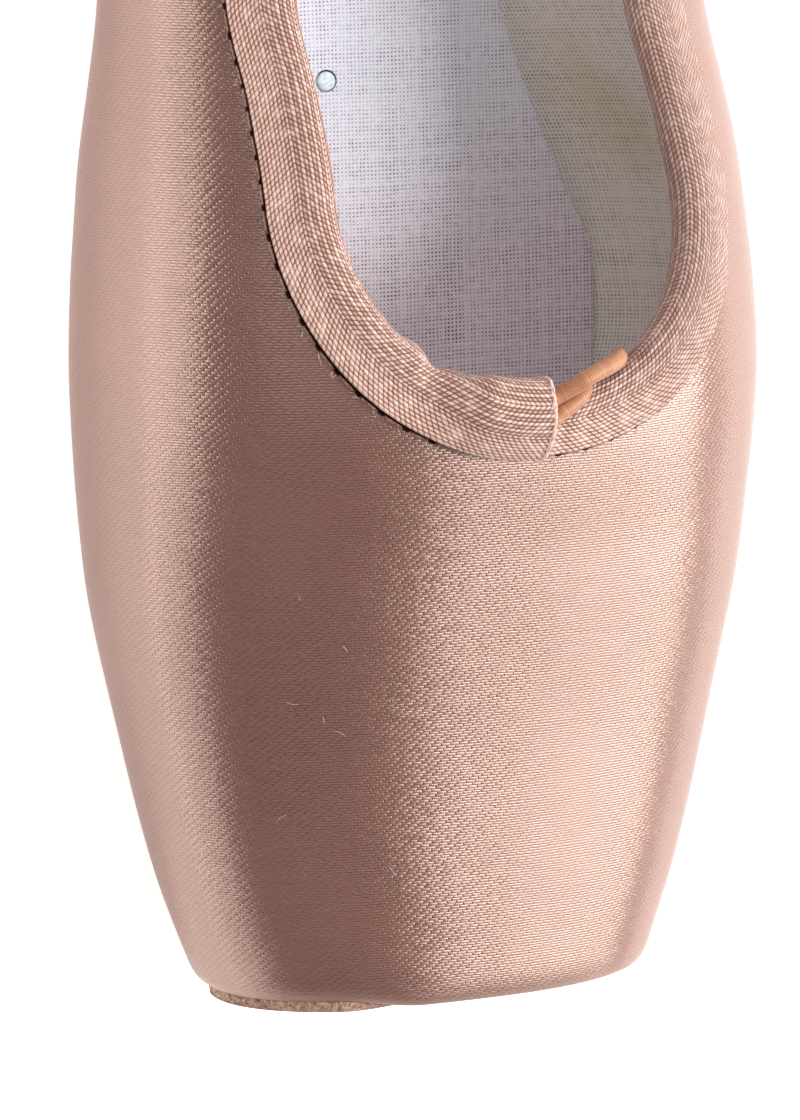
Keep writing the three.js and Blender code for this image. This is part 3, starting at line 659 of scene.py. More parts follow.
satin_material, tree, shader = material(
    "satin",
    Roughness=0.36,
    Anisotropic=0.9,
    Anisotropic_Rotation=0.25,
    IOR=2.15,
    Specular_IOR_Level=1.0,
    Specular_Tint=(1, 0.73, 0.62, 1),
)
place = cloth_place(tree)
across, along = split(tree, place)
drift = noise(tree, stretched(tree, place, 120, 400, 1), 1, 2)
along = reckon(tree, "MULTIPLY_ADD", drift, ROW_WAVER * ROW_PITCH, along)
row, in_row = cells(tree, along, ROW_PITCH)
lead = reckon(tree, "MULTIPLY_ADD", chance(tree, row), FLOAT_SHIFT * FLOAT_LENGTH, across)
lead = reckon(tree, "MULTIPLY_ADD", row, ROW_STEP * FLOAT_LENGTH, lead)
which, in_float = cells(tree, lead, FLOAT_LENGTH)
luck = chance(tree, row, which)
thread = reckon(tree, "MULTIPLY", arch(tree, in_row, 0.7), arch(tree, in_float, 0.4))
lean = reckon(tree, "SUBTRACT", luck, 0.5)
lean = reckon(tree, "MULTIPLY", lean, reckon(tree, "SUBTRACT", in_float, 0.5))
height = reckon(tree, "MULTIPLY_ADD", lean, FLOAT_LEAN, thread)
fade = noise(tree, place, 45, 3)
# Painted shade: the satin goes nearly black in the grooves between rows and at the ends of its floats
colour = between(tree, ramp(tree, thread, 0.25, 0.85), SATIN_GROOVE_SHADE, SATIN_LIGHT)
colour = between(tree, ramp(tree, fade, 0.45, 0.75, 0, 0.5), colour, SATIN_FADED)
direction = tree.nodes.new("ShaderNodeTangent")
direction.direction_type = "UV_MAP"
direction.uv_map = "cloth"
tree.links.new(direction.outputs[0], shader.inputs["Tangent"])
finish(tree, shader, colour, height, WEAVE_DEPTH)
satin = skin("satin_upper", 0.0, SATIN_COLUMNS, satin_relief, tip_lip)
satin.data.materials.append(satin_material)
thicken(satin, SATIN_THICKNESS)
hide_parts("upper")


# Lining: cream cotton in a plain weave, glued to the inside of the canvas under the satin. It
# shows beside the insole, and has yellow stains.
LINING_PITCH = 0.43 * MM
LINING_COLUMNS, LINING_THICKNESS = 60, 0.5 * MM
LINING_CREAM, LINING_HOLE_SHADE = (0.9, 0.85, 0.81, 1), (0.3, 0.25, 0.22, 1)
LINING_STAIN = (0.78, 0.7, 0.5, 1)


def none(place, uv=None):
    """No relief and no lip."""
    return np.zeros(place.shape[:2])


def plain_weave(tree, place, pitch):
    """Threads over and under each other in two directions. Returns their height, and how deep in
    a hole between them a place is, which differs from hole to hole."""
    across, along = split(tree, place)
    column, in_column = cells(tree, across, pitch)
    row, in_row = cells(tree, along, pitch)
    over = reckon(tree, "PINGPONG", reckon(tree, "ADD", column, row), 1)
    warp = reckon(tree, "MULTIPLY", arch(tree, in_column, 0.6), ramp(tree, over, 0, 1, 0.75, 1))
    weft = reckon(tree, "MULTIPLY", arch(tree, in_row, 0.6), ramp(tree, over, 0, 1, 1, 0.75))
    height = reckon(tree, "MAXIMUM", warp, weft)
    depth = reckon(tree, "SUBTRACT", 1, reckon(tree, "MAXIMUM", arch(tree, in_column), arch(tree, in_row)))
    uneven = ramp(tree, chance(tree, column, row), 0, 1, 0.45, 1)
    thin_warp = ramp(tree, chance(tree, column), 0, 1, 0.7, 1.15)
    thin_weft = ramp(tree, chance(tree, row, 7), 0, 1, 0.7, 1.15)
    uneven = reckon(tree, "MULTIPLY", uneven, reckon(tree, "MULTIPLY", thin_warp, thin_weft))
    return height, reckon(tree, "MULTIPLY", depth, uneven)


lining_material, tree, shader = material("lining", Roughness=0.9)
place = cloth_place(tree)
height, hole = plain_weave(tree, place, LINING_PITCH)
stain = noise(tree, stretched(tree, place, 60, 35, 1), 1, 3)
colour = between(tree, ramp(tree, stain, 0.5, 0.68, 0, 0.75), LINING_CREAM, LINING_STAIN)
# Painted shade in the holes between the threads
colour = between(tree, ramp(tree, hole, 0.1, 0.5), colour, LINING_HOLE_SHADE)
finish(tree, shader, colour, height, 0.05 * MM)
lining = skin("lining", 1.0, LINING_COLUMNS, none, none)
lining.data.materials.append(lining_material)
thicken(lining, LINING_THICKNESS, outwards=True)


# Insole: a fibre board covered with plain white canvas, glued to the upper's turned margin. The
# canvas turns pinker towards the toe, and the gaps of its weave are painted in shade, deepest there.
INSOLE_LOW, INSOLE_TOP, INSOLE_ROUND = 1.9 * MM, 3.9 * MM, 1 * MM
# Where along the shoe it starts, the length of its rounded front, where it ends, and of its back
INSOLE_ENDS = MM * np.array([13, 12, 232, 20])
SLAB_COLUMNS, SLAB_ROWS, SLAB_END_ROWS, SLAB_SIDE_ROWS = 60, 220, 20, 9
INSOLE = MM * np.array([
    (12, 19),
    (28, 25),
    (48, 30),
    (66, 31.3),
    (75, 29.2),
    (86, 24.5),
    (100, 19),
    (112, 16),
    (135, 15.4),
    (174, 17.5),
    (198, 20),
    (232, 20),
])
insole_half = through(INSOLE, 1)


def slab(name, ends, half_at, low, high, radius):
    """A flat piece under the foot: a rounded bar's profile carried along the shoe, as wide as its
    outline there, between two heights over the underside, its ends rounded like quarter ellipses."""
    start, front, end, back = ends
    quarter = np.linspace(0, np.pi / 2, SLAB_END_ROWS)
    s = np.r_[
        start + front * (1 - np.cos(quarter)),
        np.linspace(start + front, end - back, SLAB_ROWS)[1:-1],
        end - back * (1 - np.sin(quarter)),
    ]
    to_front = np.clip(1 - (s - start) / front, 0, 1)
    to_back = np.clip(1 - (end - s) / back, 0, 1)
    half = half_at(s) * np.sqrt((1 - to_front**2) * (1 - to_back**2))
    turn = np.linspace(0, np.pi, SLAB_SIDE_ROWS)
    side = np.c_[np.sin(turn), np.cos(turn)]
    across = np.linspace(-1, 1, SLAB_COLUMNS)[1:-1]
    round_x = np.minimum(radius, half)[:, None]
    straight = half[:, None] - round_x
    x = np.hstack([
        straight + round_x * side[:, 0],
        -across * straight,
        -straight - round_x * side[::-1, 0],
        across * straight,
    ])
    middle, tall = (high + low) / 2, (high - low) / 2
    level = np.ones(SLAB_COLUMNS - 2)
    up = np.r_[side[::-1, 1], level, side[:, 1], -level]
    y = np.broadcast_to((PLATFORM_Y + s)[:, None], x.shape)
    z = underside(s)[:, None] + middle + tall * up
    points = np.stack([x, y, z], axis=-1)
    faces = grid(len(s), x.shape[1], around=True)[:, ::-1]
    return piece(name, points.reshape(-1, 3), faces, points.reshape(-1, 3)[:, :2])


def insole_width(s):
    """Half width of the board, kept clear of the lining at its own height."""
    _, _, half, middle, _, belly, _ = section(s, 1.0)
    deep = np.clip((middle - underside(s) - INSOLE_TOP) / belly, 0, 1)
    return np.minimum(insole_half(s), half * (1 - deep**BELLY_POWER) ** (1 / SIDE_POWER) - 3 * GAP)


CANVAS_PITCH, CANVAS_BEND, CANVAS_DEPTH = 0.455 * MM, 0.5 * MM, 0.08 * MM
CANVAS_WHITE, CANVAS_FLECK_AND_HOLE_SHADE = (0.9, 0.9, 1.0, 1), (0.3, 0.26, 0.36, 1)
CANVAS_TOE_PINK, CANVAS_TOE_HOLE_SHADE = (0.95, 0.82, 0.9, 1), (0.04, 0.02, 0.04, 1)
# Places along the shoe between which the canvas's pinker front and deeper painted shade fade out
TOE_FADE_FROM = (-45 * MM, -20 * MM)

canvas_material, tree, shader = material("canvas", Roughness=0.9)
place = object_place(tree)
bend = reckon(tree, "MULTIPLY", noise(tree, place, 70, 1), CANVAS_BEND)
height, hole = plain_weave(tree, node(tree, "ShaderNodeVectorMath", place, bend), CANVAS_PITCH)
fibres = noise(tree, place, 5200, 2)
toewards = ramp(tree, split(tree, place)[1], *TOE_FADE_FROM, 0.75, 0)
# The canvas turns pinker towards the toe
colour = between(tree, toewards, CANVAS_WHITE, CANVAS_TOE_PINK)
colour = between(tree, ramp(tree, fibres, 0.5, 0.75, 0, 0.2), colour, CANVAS_FLECK_AND_HOLE_SHADE)
# Painted shade: the gaps of the weave go from grey to nearly black towards the toe
deep = between(tree, toewards, CANVAS_FLECK_AND_HOLE_SHADE, CANVAS_TOE_HOLE_SHADE)
colour = between(tree, ramp(tree, hole, 0.12, 0.5), colour, deep)
finish(tree, shader, colour, height, CANVAS_DEPTH)
insole = slab("insole_canvas", INSOLE_ENDS, insole_width, INSOLE_LOW, INSOLE_TOP, INSOLE_ROUND)
insole.data.materials.append(canvas_material)
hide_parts("insole")


# Nail: a small round steel head, driven through the insole into what stiffens the sole. Its face
# is scratched in one direction, and painted shade darkens its rim on one side.
NAIL_S, NAIL_PROUD, NAIL_SIDES = 98 * MM, 0.15 * MM, 48
NAIL_AT = np.array([-4.2 * MM, PLATFORM_Y + NAIL_S, 0])
# The head's profile: distance from its middle, and height
NAIL_PROFILE = MM * np.array([
    (0, 0),
    (0.5, 0),
    (1.0, -0.02),
    (1.18, -0.06),
    (1.28, -0.16),
    (1.3, -0.3),
    (1.3, -0.6),
    (0, -0.6),
])
SCRATCH_PITCH, SCRATCH_ANGLE, SCRATCH_DEPTH = 0.2 * MM, np.pi / 6, 0.02 * MM
# The middle of the painted shade round the rim, off the nail's own, and where it begins and is darkest
RIM_SHADE_AT = NAIL_AT + MM * np.array([-0.1, -0.12, 0])
RIM = (1.12 * MM, 1.24 * MM)
STEEL, STEEL_PALE = (0.36, 0.4, 0.46, 1), (0.56, 0.61, 0.67, 1)
STEEL_SCRATCH, STEEL_RIM_SHADE = (0.1, 0.11, 0.14, 1), (0.03, 0.03, 0.045, 1)


def nail_head(name):
    """A low dome: the profile turned about its middle, flat on top, rounded at the rim."""
    angle = np.linspace(0, 2 * np.pi, NAIL_SIDES, endpoint=False)
    top = underside(NAIL_S) + INSOLE_TOP + NAIL_PROUD
    x = NAIL_PROFILE[:, :1] * np.cos(angle)
    y = NAIL_PROFILE[:, :1] * np.sin(angle)
    z = np.broadcast_to(NAIL_PROFILE[:, 1:] + top, x.shape)
    points = np.stack([x, y, z], axis=-1) + NAIL_AT
    faces = grid(len(NAIL_PROFILE), NAIL_SIDES, around=True)[:, ::-1]
    return piece(name, points.reshape(-1, 3), faces)


steel_material, tree, shader = material("nail_steel", Roughness=0.5, Metallic=0.6)
place = object_place(tree)
turned = (0, 0, SCRATCH_ANGLE)
hatched = node(tree, "ShaderNodeMapping", place, tuple(RIM_SHADE_AT), turned, vector_type="TEXTURE")
along, across = split(tree, hatched)
which, in_scratch = cells(tree, across, SCRATCH_PITCH)
line = ramp(tree, in_scratch, 0.1, 0.28, 1, 0)
broken = noise(tree, stretched(tree, hatched, 900, 3500, 1), 1, 2)
line = reckon(tree, "MULTIPLY", line, ramp(tree, broken, 0.48, 0.6))
colour = between(tree, noise(tree, hatched, 2500, 2), STEEL, STEEL_PALE)
colour = between(tree, reckon(tree, "MULTIPLY", line, 0.8), colour, STEEL_SCRATCH)
# Painted shade: the rim goes dark outside a circle set off the nail's middle
rim = reckon(tree, "MULTIPLY_ADD", along, along, reckon(tree, "MULTIPLY", across, across))
rim = reckon(tree, "SQRT", rim)
colour = between(tree, ramp(tree, rim, *RIM), colour, STEEL_RIM_SHADE)
finish(tree, shader, colour, reckon(tree, "SUBTRACT", 1, line), SCRATCH_DEPTH)
nail = nail_head("nail_head")
nail.data.materials.append(steel_material)
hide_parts("insole_nail")


# Outsole: a narrow sole of tan split leather, cemented under the upper's margin. Its nap is rubbed
# darker in patches.
OUTSOLE_ENDS = MM * np.array([16, 12, 229, 16])
OUTSOLE_INSET, OUTSOLE_ROUND = 1 * MM, 0.8 * MM
LEATHER_DARK, LEATHER_TAN = (0.3, 0.17, 0.1, 1), (0.56, 0.37, 0.23, 1)
LEATHER_RUBBED, LEATHER_DEPTH = (0.24, 0.14, 0.09, 1), 0.15 * MM


def outsole_width(s):
    """Half width of the sole: that of the flat underside, less an inset."""
    return last_flat(s) - OUTSOLE_INSET


leather_material, tree, shader = material("sole_leather", Roughness=0.75)
place = object_place(tree)
grain = noise(tree, place, 1500, 4, 0.65)
blotch = noise(tree, place, 90, 3)
colour = between(tree, ramp(tree, grain, 0.3, 0.7), LEATHER_DARK, LEATHER_TAN)
colour = between(tree, ramp(tree, blotch, 0.4, 0.7, 0, 0.5), colour, LEATHER_RUBBED)
finish(tree, shader, colour, grain, LEATHER_DEPTH)
outsole = slab(
    "leather_outsole", OUTSOLE_ENDS, outsole_width, -FLOOR_TO_UPPER, -GAP, OUTSOLE_ROUND
)
outsole.data.materials.append(leather_material)
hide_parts("outsole")


# Suede tip: a piece of suede glued on the platform, which keeps the satin from wearing. On the
# left it comes out to the edge, where it is rubbed and fuzzy. Elsewhere the satin's lip hides it.
PAD_INSET = 0.22
PAD_FACE, PAD_BACK = 1.5 * MM, 0.1 * MM
PAD_EDGE_IN, PAD_EDGE_OUT, PAD_RUB = 0.45 * MM, 0.42 * MM, 0.08 * MM
PAD_SIDES, PAD_FACE_ROWS, PAD_EDGE_ROWS = 480, 13, 9
# Where on the last its outline is taken, and the height of its middle
PAD_AT_S, PAD_MIDDLE = 0.06 * MM, 20 * MM
SUEDE_BROWN, SUEDE_TAN = (0.27, 0.13, 0.085, 1), (0.56, 0.36, 0.26, 1)
SUEDE_PIT, SUEDE_FUZZ = (0.1, 0.035, 0.02, 1), (0.58, 0.4, 0.33, 1)
SUEDE_DEPTH = 0.3 * MM


def suede_pad(name):
    """Rings of the platform's own outline: from the middle of the outer face, round an edge that
    bulges as a half circle and is rubbed uneven by products of sines, to the middle of the back."""
    angle = np.linspace(0, 2 * np.pi, PAD_SIDES, endpoint=False)
    outline = on_last(np.array(PAD_AT_S), angle)
    middle = np.array([0, outline[0, 1], PAD_MIDDLE])
    outline = middle + (outline - middle) * (1 - PAD_INSET * (1 - pad_shows(outline[:, :1])))
    outwards = unit(outline - middle)
    turn = np.linspace(0, np.pi, PAD_EDGE_ROWS)
    face = np.linspace(0, 1, PAD_FACE_ROWS + 1)[:-1]
    flat = np.zeros(PAD_FACE_ROWS)
    scale = np.r_[face, np.ones(PAD_EDGE_ROWS), face[::-1]][:, None, None]
    rub = np.sin(37 * angle) * np.sin(61 * angle + 2) + np.sin(113 * angle) * np.sin(83 * angle)
    bulge = np.r_[flat, np.sin(turn), flat][:, None, None]
    inset = (PAD_EDGE_OUT * bulge - PAD_EDGE_IN) * (bulge > 0) + PAD_RUB * bulge * rub[:, None]
    middle_y, half = (PAD_FACE + PAD_BACK) / 2, (PAD_FACE - PAD_BACK) / 2
    deep = np.r_[flat + PAD_FACE, middle_y + half * np.cos(turn), flat + PAD_BACK]
    points = middle + (outline - middle) * scale + outwards * inset
    points[..., 1] = PLATFORM_Y - deep[:, None]
    faces = grid(len(scale), PAD_SIDES, around=True)[:, ::-1]
    return piece(name, points.reshape(-1, 3), faces)


suede_material, tree, shader = material("tip_suede", Roughness=0.95, Sheen_Weight=0.15)
place = object_place(tree)
nap = noise(tree, place, 1900, 5, 0.7)
pits = noise(tree, place, 3300, 2)
colour = between(tree, ramp(tree, nap, 0.35, 0.65), SUEDE_BROWN, SUEDE_TAN)
colour = between(tree, ramp(tree, pits, 0.6, 0.7), colour, SUEDE_PIT)
colour = between(tree, ramp(tree, pits, 0.4, 0.3), colour, SUEDE_FUZZ)
finish(tree, shader, colour, nap, SUEDE_DEPTH)
tip = suede_pad("suede_tip")
tip.data.materials.append(suede_material)
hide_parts("platform_tip")


# Binding: a herringbone cotton tape, folded over the raw collar and stitched down, with the
# drawstring inside its fold. Its end laps over its beginning left of the throat's middle.
TAPE_THICKNESS, TAPE_DROP, TAPE_RING_EVERY = 0.6 * MM, 4.8 * MM, 0.5 * MM
FACE_STEPS, BACK_STEPS, DOWN_STEPS = 5, 3, 4
THROAT_TURN, HEEL_TURN = 0.28, 0.74
TAPE_START, FOLD_START, FOLD_FULL = -0.044, 0.08, 0.2
LAP_START, LAP_FULL, TAPE_END = 1.9, 1.95, 1.997
# Distance of the tape's back off the wall, at nine places across it from outside to inside
FLAT_LIFT = MM * np.array([0.12, 0.36, 0.5, 0.45, 0.45, 0.45, 0.5, 0.5, 0.45])
FOLDED_LIFT = MM * np.array([0.12, 0.42, 0.7, 0.9, 1.1, 0.9, 0.7, 0.5, 0.45])
LAPPED_LIFT = MM * np.array([1.45, 3.05, 3.8, 3.75, 1.85, 1.5, 1.5, 1.45, 1.4])
PUCKER_LIFT = MM * np.array([0, 0.1, 0.3, 0.5, 0.6, 0.5, 0.4, 0.2, 0])
# The puckers round the start of the lap: turn of the middle, half the length, share of the lift
PUCKERS = ((1.868, 0.024, 1), (1.912, 0.014, 0.5), (1.893, 0.014, -0.5))
# Height of the tape's long waves, and their lengths over two pi
TAPE_WAVE_RISE, TAPE_WAVES = 0.07 * MM, (3.1 * MM, 4.7 * MM, 17 * MM)
SEAM_DENT = MM * np.array([0.1, 0.2, 0.06, 0, 0, 0, 0, 0, 0])
STITCH_PITCH, DRAWN_POWER = 2.7 * MM, 6


def collar_point(turn):
    """Edge of the opening: a squared ellipse at the throat, then a share of the half width.
    The turn goes from 0 at the throat, round the right, to 1 at the heel, and back to 2."""
    wrapped = np.mod(turn, 2)
    side = np.where(wrapped > 1, -1.0, 1.0)
    t = np.where(wrapped > 1, 2 - wrapped, wrapped)
    angle = np.clip(t / THROAT_TURN, 0, 1) * np.pi / 2
    half = collar_share(THROAT_END_S) * last_half(THROAT_END_S)
    throat_s = THROAT_END_S - (THROAT_END_S - THROAT_S) * np.cos(angle) ** (2 / THROAT_POWER)
    throat_x = half * np.sin(angle) ** (2 / THROAT_POWER)
    to_heel = np.clip((t - THROAT_TURN) / (HEEL_TURN - THROAT_TURN), 0, 1)
    round_heel = np.clip((t - HEEL_TURN) / (1 - HEEL_TURN), 0, 1) * np.pi / 2
    side_s = THROAT_END_S + (HEEL_START - THROAT_END_S) * to_heel + HEEL_RADIUS * np.sin(round_heel)
    s = np.where(t < THROAT_TURN, throat_s, side_s)
    _, _, outside, middle, _, _, crown = section(s, 0.0)
    x = collar_shift(s) + side * np.where(t < THROAT_TURN, throat_x, collar_share(s) * outside)
    share = np.where(outside > MM / 100, np.abs(x) / np.maximum(outside, MM / 100), collar_share(s))
    z = middle + (crown - middle) * (1 - share**SIDE_POWER) ** (1 / CROWN_POWER)
    return np.stack([x, PLATFORM_Y + s - heel_lean(s, z), z], axis=-1)


def field(p, inwards):
    """Below 0 inside a skin of the shoe and above 0 outside it, by the section's formula."""
    s = p[..., 1] - PLATFORM_Y
    for _ in range(4):
        s = p[..., 1] - PLATFORM_Y + heel_lean(s, p[..., 2])
    full, turn, _, middle, _, belly, crown = section(s, inwards)
    over = p[..., 2] >= middle
    tall = np.where(over, crown - middle, belly)
    rise = (np.abs(p[..., 2] - middle) / tall) ** np.where(over, CROWN_POWER, BELLY_POWER)
    reach = full * np.maximum(1 - rise, 0.01) ** (1 / SIDE_POWER)
    heel = (np.abs(p[..., 0]) / reach) ** HEEL_ROUNDNESS + turn**HEEL_ROUNDNESS - 1
    return np.where(turn > 0, heel, (np.abs(p[..., 0]) / full) ** SIDE_POWER + rise - 1)


def slope_of(p, inwards):
    """Gradient of the field, by differences."""
    step = 0.02 * MM
    parts = [field(p + step * axis, inwards) - field(p - step * axis, inwards) for axis in np.eye(3)]
    return np.stack(parts, axis=-1) / (2 * step)


def settle(p, inwards):
    """The nearest points of a skin, and the way out of it there, by Newton's steps."""
    for _ in range(6):
        g = slope_of(p, inwards)
        p = p - g * (field(p, inwards) / (g**2).sum(axis=-1))[..., None]
    g = slope_of(p, inwards)
    return p, unit(g)


class Collar:
    """The edge of the opening at many turns: its points, the way out of the wall, and the way
    down the wall, square to the edge."""

    def __init__(self, turns):
        self.turns = turns
        self.p = collar_point(turns)
        self.out = settle(self.p, 0.0)[1]
        along = collar_point(turns + 1e-3) - collar_point(turns - 1e-3)
        self.down = unit(np.cross(unit(along), self.out))
        self.wall = wall(self.p[:, 1] - PLATFORM_Y)[:, None]
        self.reach = np.r_[0, np.cumsum(np.linalg.norm(np.diff(self.p, axis=0), axis=1))]

    def down_wall(self, distance):
        """Points at a distance down the outside from the edge, and the way out there."""
        at, out = self.p.copy(), self.out
        along = np.cross(self.out, self.down)
        for _ in range(DOWN_STEPS if distance > 0 else 0):
            step = unit(np.cross(along, out)) * distance / DOWN_STEPS
            at, out = settle(at + step, 0.0)
        return at, out

    def line_over(self, off):
        """Nine points across the edge, each at its own distance off the wall: up the outside,
        over the top and down the inside."""
        line = []
        for i, distance in enumerate((TAPE_DROP, TAPE_DROP / 2, 0)):
            at, out = self.down_wall(distance)
            line.append(at + out * off[:, i, None])
        middle = self.p - self.out * self.wall / 2
        for i in (1, 2, 3):
            angle = np.pi * i / 4
            round_edge = self.out * np.cos(angle) - self.down * np.sin(angle)
            line.append(middle + round_edge * (self.wall / 2 + off[:, 2 + i, None]))
        for i, distance in enumerate((0, TAPE_DROP / 2, TAPE_DROP)):
            at, out = self.down_wall(distance)
            at, out = settle(at - out * self.wall, 1.0)
            line.append(at - out * off[:, 6 + i, None])
        return np.stack(line, axis=1)


def even_turns(start, end, spacing):
    """Turns of the collar that are evenly spaced along its edge."""
    fine = np.linspace(start, end, 6000)
    reach = np.r_[0, np.cumsum(np.linalg.norm(np.diff(collar_point(fine), axis=0), axis=1))]
    return np.interp(np.linspace(0, reach[-1], int(reach[-1] / spacing)), reach, fine)


def tape_lift(collar):
    """Distance of the tape's back off the wall: pressed flat where it begins, fuller over the
    edge along the collar, puckered and then raised where its end laps over the drawstring, and
    drawn in at each stitch and, gently, in long uneven waves."""
    turns = collar.turns[:, None]
    fold = ease((turns - FOLD_START) / (FOLD_FULL - FOLD_START))
    lap = ease((turns - LAP_START) / (LAP_FULL - LAP_START))
    lift = FLAT_LIFT + (FOLDED_LIFT - FLAT_LIFT) * fold
    lift = lift + (LAPPED_LIFT - lift) * lap
    pucker = sum(share * bell((turns - middle) / half) for middle, half, share in PUCKERS)
    reach = collar.reach[:, None]
    short, medium, long = TAPE_WAVES
    wave = np.sin(reach / short) + np.sin(reach / medium + 1) * np.sin(reach / long)
    drawn = np.abs(np.cos(np.pi * reach / STITCH_PITCH)) ** DRAWN_POWER
    lift = lift + PUCKER_LIFT * pucker + TAPE_WAVE_RISE * wave * np.sin(np.pi * np.arange(9) / 8)
    return lift - SEAM_DENT * drawn * (1 - lap)


def across_smoothly(lines, steps):
    """A Catmull-Rom curve through each line's points."""
    flat = np.moveaxis(lines, 1, 0).reshape(lines.shape[1], -1)
    return np.moveaxis(smooth_route(flat, steps).reshape(-1, len(lines), 3), 0, 1)


def tape(name, collar):
    """The tape's outer face and its back as one closed ring, carried along the collar, with its
    two ends closed."""
    lift = tape_lift(collar)
    face = across_smoothly(collar.line_over(lift + TAPE_THICKNESS), FACE_STEPS)
    back = across_smoothly(collar.line_over(lift), BACK_STEPS)[:, ::-1]
    ring = np.concatenate([face, back], axis=1)
    width = np.cumsum(np.linalg.norm(np.diff(ring, axis=1, prepend=ring[:, :1]), axis=2), axis=1)
    uv = np.stack(np.broadcast_arrays(width, collar.reach[:, None]), axis=-1)
    n = ring.shape[1]
    faces = grid(len(ring), n, around=True)
    low = np.arange(n // 2 - 1)
    cap = np.stack([low, low + 1, n - 2 - low, n - 1 - low], axis=1)
    last = (len(ring) - 1) * n
    faces = np.vstack([faces[:, ::-1], cap[:, ::-1], cap + last])
    return piece(name, ring.reshape(-1, 3), faces, uv.reshape(-1, 2))


# The weave: short dashes in columns along the tape, each column a step further on than the last,
# which turns back every few millimetres and makes the chevrons.
CHEVRON, COLUMN_PITCH, PICK_PITCH, PICK_STEP = 3.7 * MM, 0.44 * MM, 0.62 * MM, 0.55
HERRINGBONE_DEPTH = 0.16 * MM
TAPE_SHADE, TAPE_LIGHT = (0.2, 0.085, 0.06, 1), (0.78, 0.49, 0.4, 1)
TAPE_PALE = (0.95, 0.72, 0.63, 1)
# Widths over which the weave stands up, from the pressed outer edge to the fold, and over which
# every second column sinks
PRESSED, SUNK_FROM = (1.5 * MM, 4 * MM), (2 * MM, 4.5 * MM)
# Distances to the right over which painted shade makes the tape darker
RIGHT_SHADE_FROM = (8 * MM, 24 * MM)
TAPE_RIGHT_SHADE = (0.16, 0.085, 0.065, 1)

tape_material, tree, shader = material("binding_tape", Roughness=0.75, Sheen_Weight=0.15)
width, along = split(tree, cloth_place(tree))
fold = reckon(tree, "PINGPONG", width, CHEVRON)
column, in_column = cells(tree, fold, COLUMN_PITCH)
lead = reckon(tree, "MULTIPLY_ADD", fold, PICK_STEP * PICK_PITCH / COLUMN_PITCH, along)
pick, in_pick = cells(tree, lead, PICK_PITCH)
luck = chance(tree, column, pick)
height = reckon(tree, "MULTIPLY", arch(tree, in_column, 0.8), arch(tree, in_pick, 0.6))
odd = reckon(tree, "PINGPONG", column, 1)
sunk = reckon(tree, "MULTIPLY", odd, ramp(tree, width, *SUNK_FROM, 0.1, 0.45))
height = reckon(tree, "MULTIPLY", height, reckon(tree, "SUBTRACT", 1, sunk))
# Painted shade: low parts of the weave and every second, sunk column are coloured darker
colour = between(tree, ramp(tree, height, 0.2, 0.75), TAPE_SHADE, TAPE_LIGHT)
colour = between(tree, ramp(tree, luck, 0.5, 1, 0, 0.4), colour, TAPE_PALE)
# Painted shade in the gaps between dashes, weaker on the pressed outer edge
gap = reckon(tree, "MULTIPLY", ramp(tree, height, 0.05, 0.3, 0.75, 0), ramp(tree, width, *PRESSED, 0.35, 1))
colour = between(tree, gap, colour, TAPE_SHADE)
# Painted shade: the tape darkens towards the right
right_shade = ramp(tree, split(tree, object_place(tree))[0], *RIGHT_SHADE_FROM, 0, 0.42)
colour = between(tree, right_shade, colour, TAPE_RIGHT_SHADE)
height = reckon(tree, "MULTIPLY", height, ramp(tree, width, *PRESSED, 0.55, 1))
finish(tree, shader, colour, height, HERRINGBONE_DEPTH)
collar = Collar(even_turns(TAPE_START, TAPE_END, TAPE_RING_EVERY))
binding = tape("herringbone_binding", collar)
binding.data.materials.append(tape_material)
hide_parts("binding")


# Seam: lockstitches of brown thread hold the tape's outer edge down. The thread lies in the ditch
# beside the tape, and dives into a pinhole between two stitches. Near-black beads paint the shade
# in each pinhole and along the ditch.
SEAM_DROP, DITCH_DROP = TAPE_DROP + 0.32 * MM, TAPE_DROP + 0.1 * MM
SEAM_TURNS = (0.004, LAP_START + 0.03)
BEAD_RINGS, BEAD_SIDES = 6, 6
# Half the length, width and height of a stitch, a pinhole and a length of the ditch
STITCH_SIZE, HOLE_SIZE = MM * np.array([1.16, 0.16, 0.16]), MM * np.array([0.46, 0.2, 0.1])
DITCH_SIZE = MM * np.array([0.62, 0.12, 0.07])
THREAD_BROWN, THREAD_DARK = (0.46, 0.26, 0.16, 1), (0.2, 0.09, 0.05, 1)
PINHOLE_SHADE_BLACK, PINHOLE_SHADE_BROWN = (0.012, 0.004, 0.003, 1), (0.045, 0.016, 0.011, 1)
THREAD_DEPTH = 0.05 * MM


def many(name, shape, faces, centres, frames):
    """One small shape at many places: each copy is turned by its frame, whose rows are the
    directions of the shape's own axes, and moved to its centre."""
    points = centres[:, None] + np.einsum("pk,nkc->npc", shape, frames)
    first = len(shape) * np.arange(len(centres))
    return piece(name, points.reshape(-1, 3), (faces[None] + first[:, None, None]).reshape(-1, 4))


def bead(size, blunt=3.0):
    """A closed bead: rings of an ellipse along its length, which shrink to its two ends along a
    squared ellipse."""
    reach, wide, tall = size
    along = -np.cos(np.linspace(0, np.pi, BEAD_RINGS))
    shrink = np.maximum(0, 1 - np.abs(along) ** blunt) ** (1 / blunt)
    angle = np.linspace(0, 2 * np.pi, BEAD_SIDES, endpoint=False)
    x = np.broadcast_to(reach * along[:, None], (BEAD_RINGS, BEAD_SIDES))
    y = wide * shrink[:, None] * np.cos(angle)
    z = tall * shrink[:, None] * np.sin(angle)
    shape = np.stack([x, y, z], axis=-1)
    return shape.reshape(-1, 3), grid(BEAD_RINGS, BEAD_SIDES, around=True)


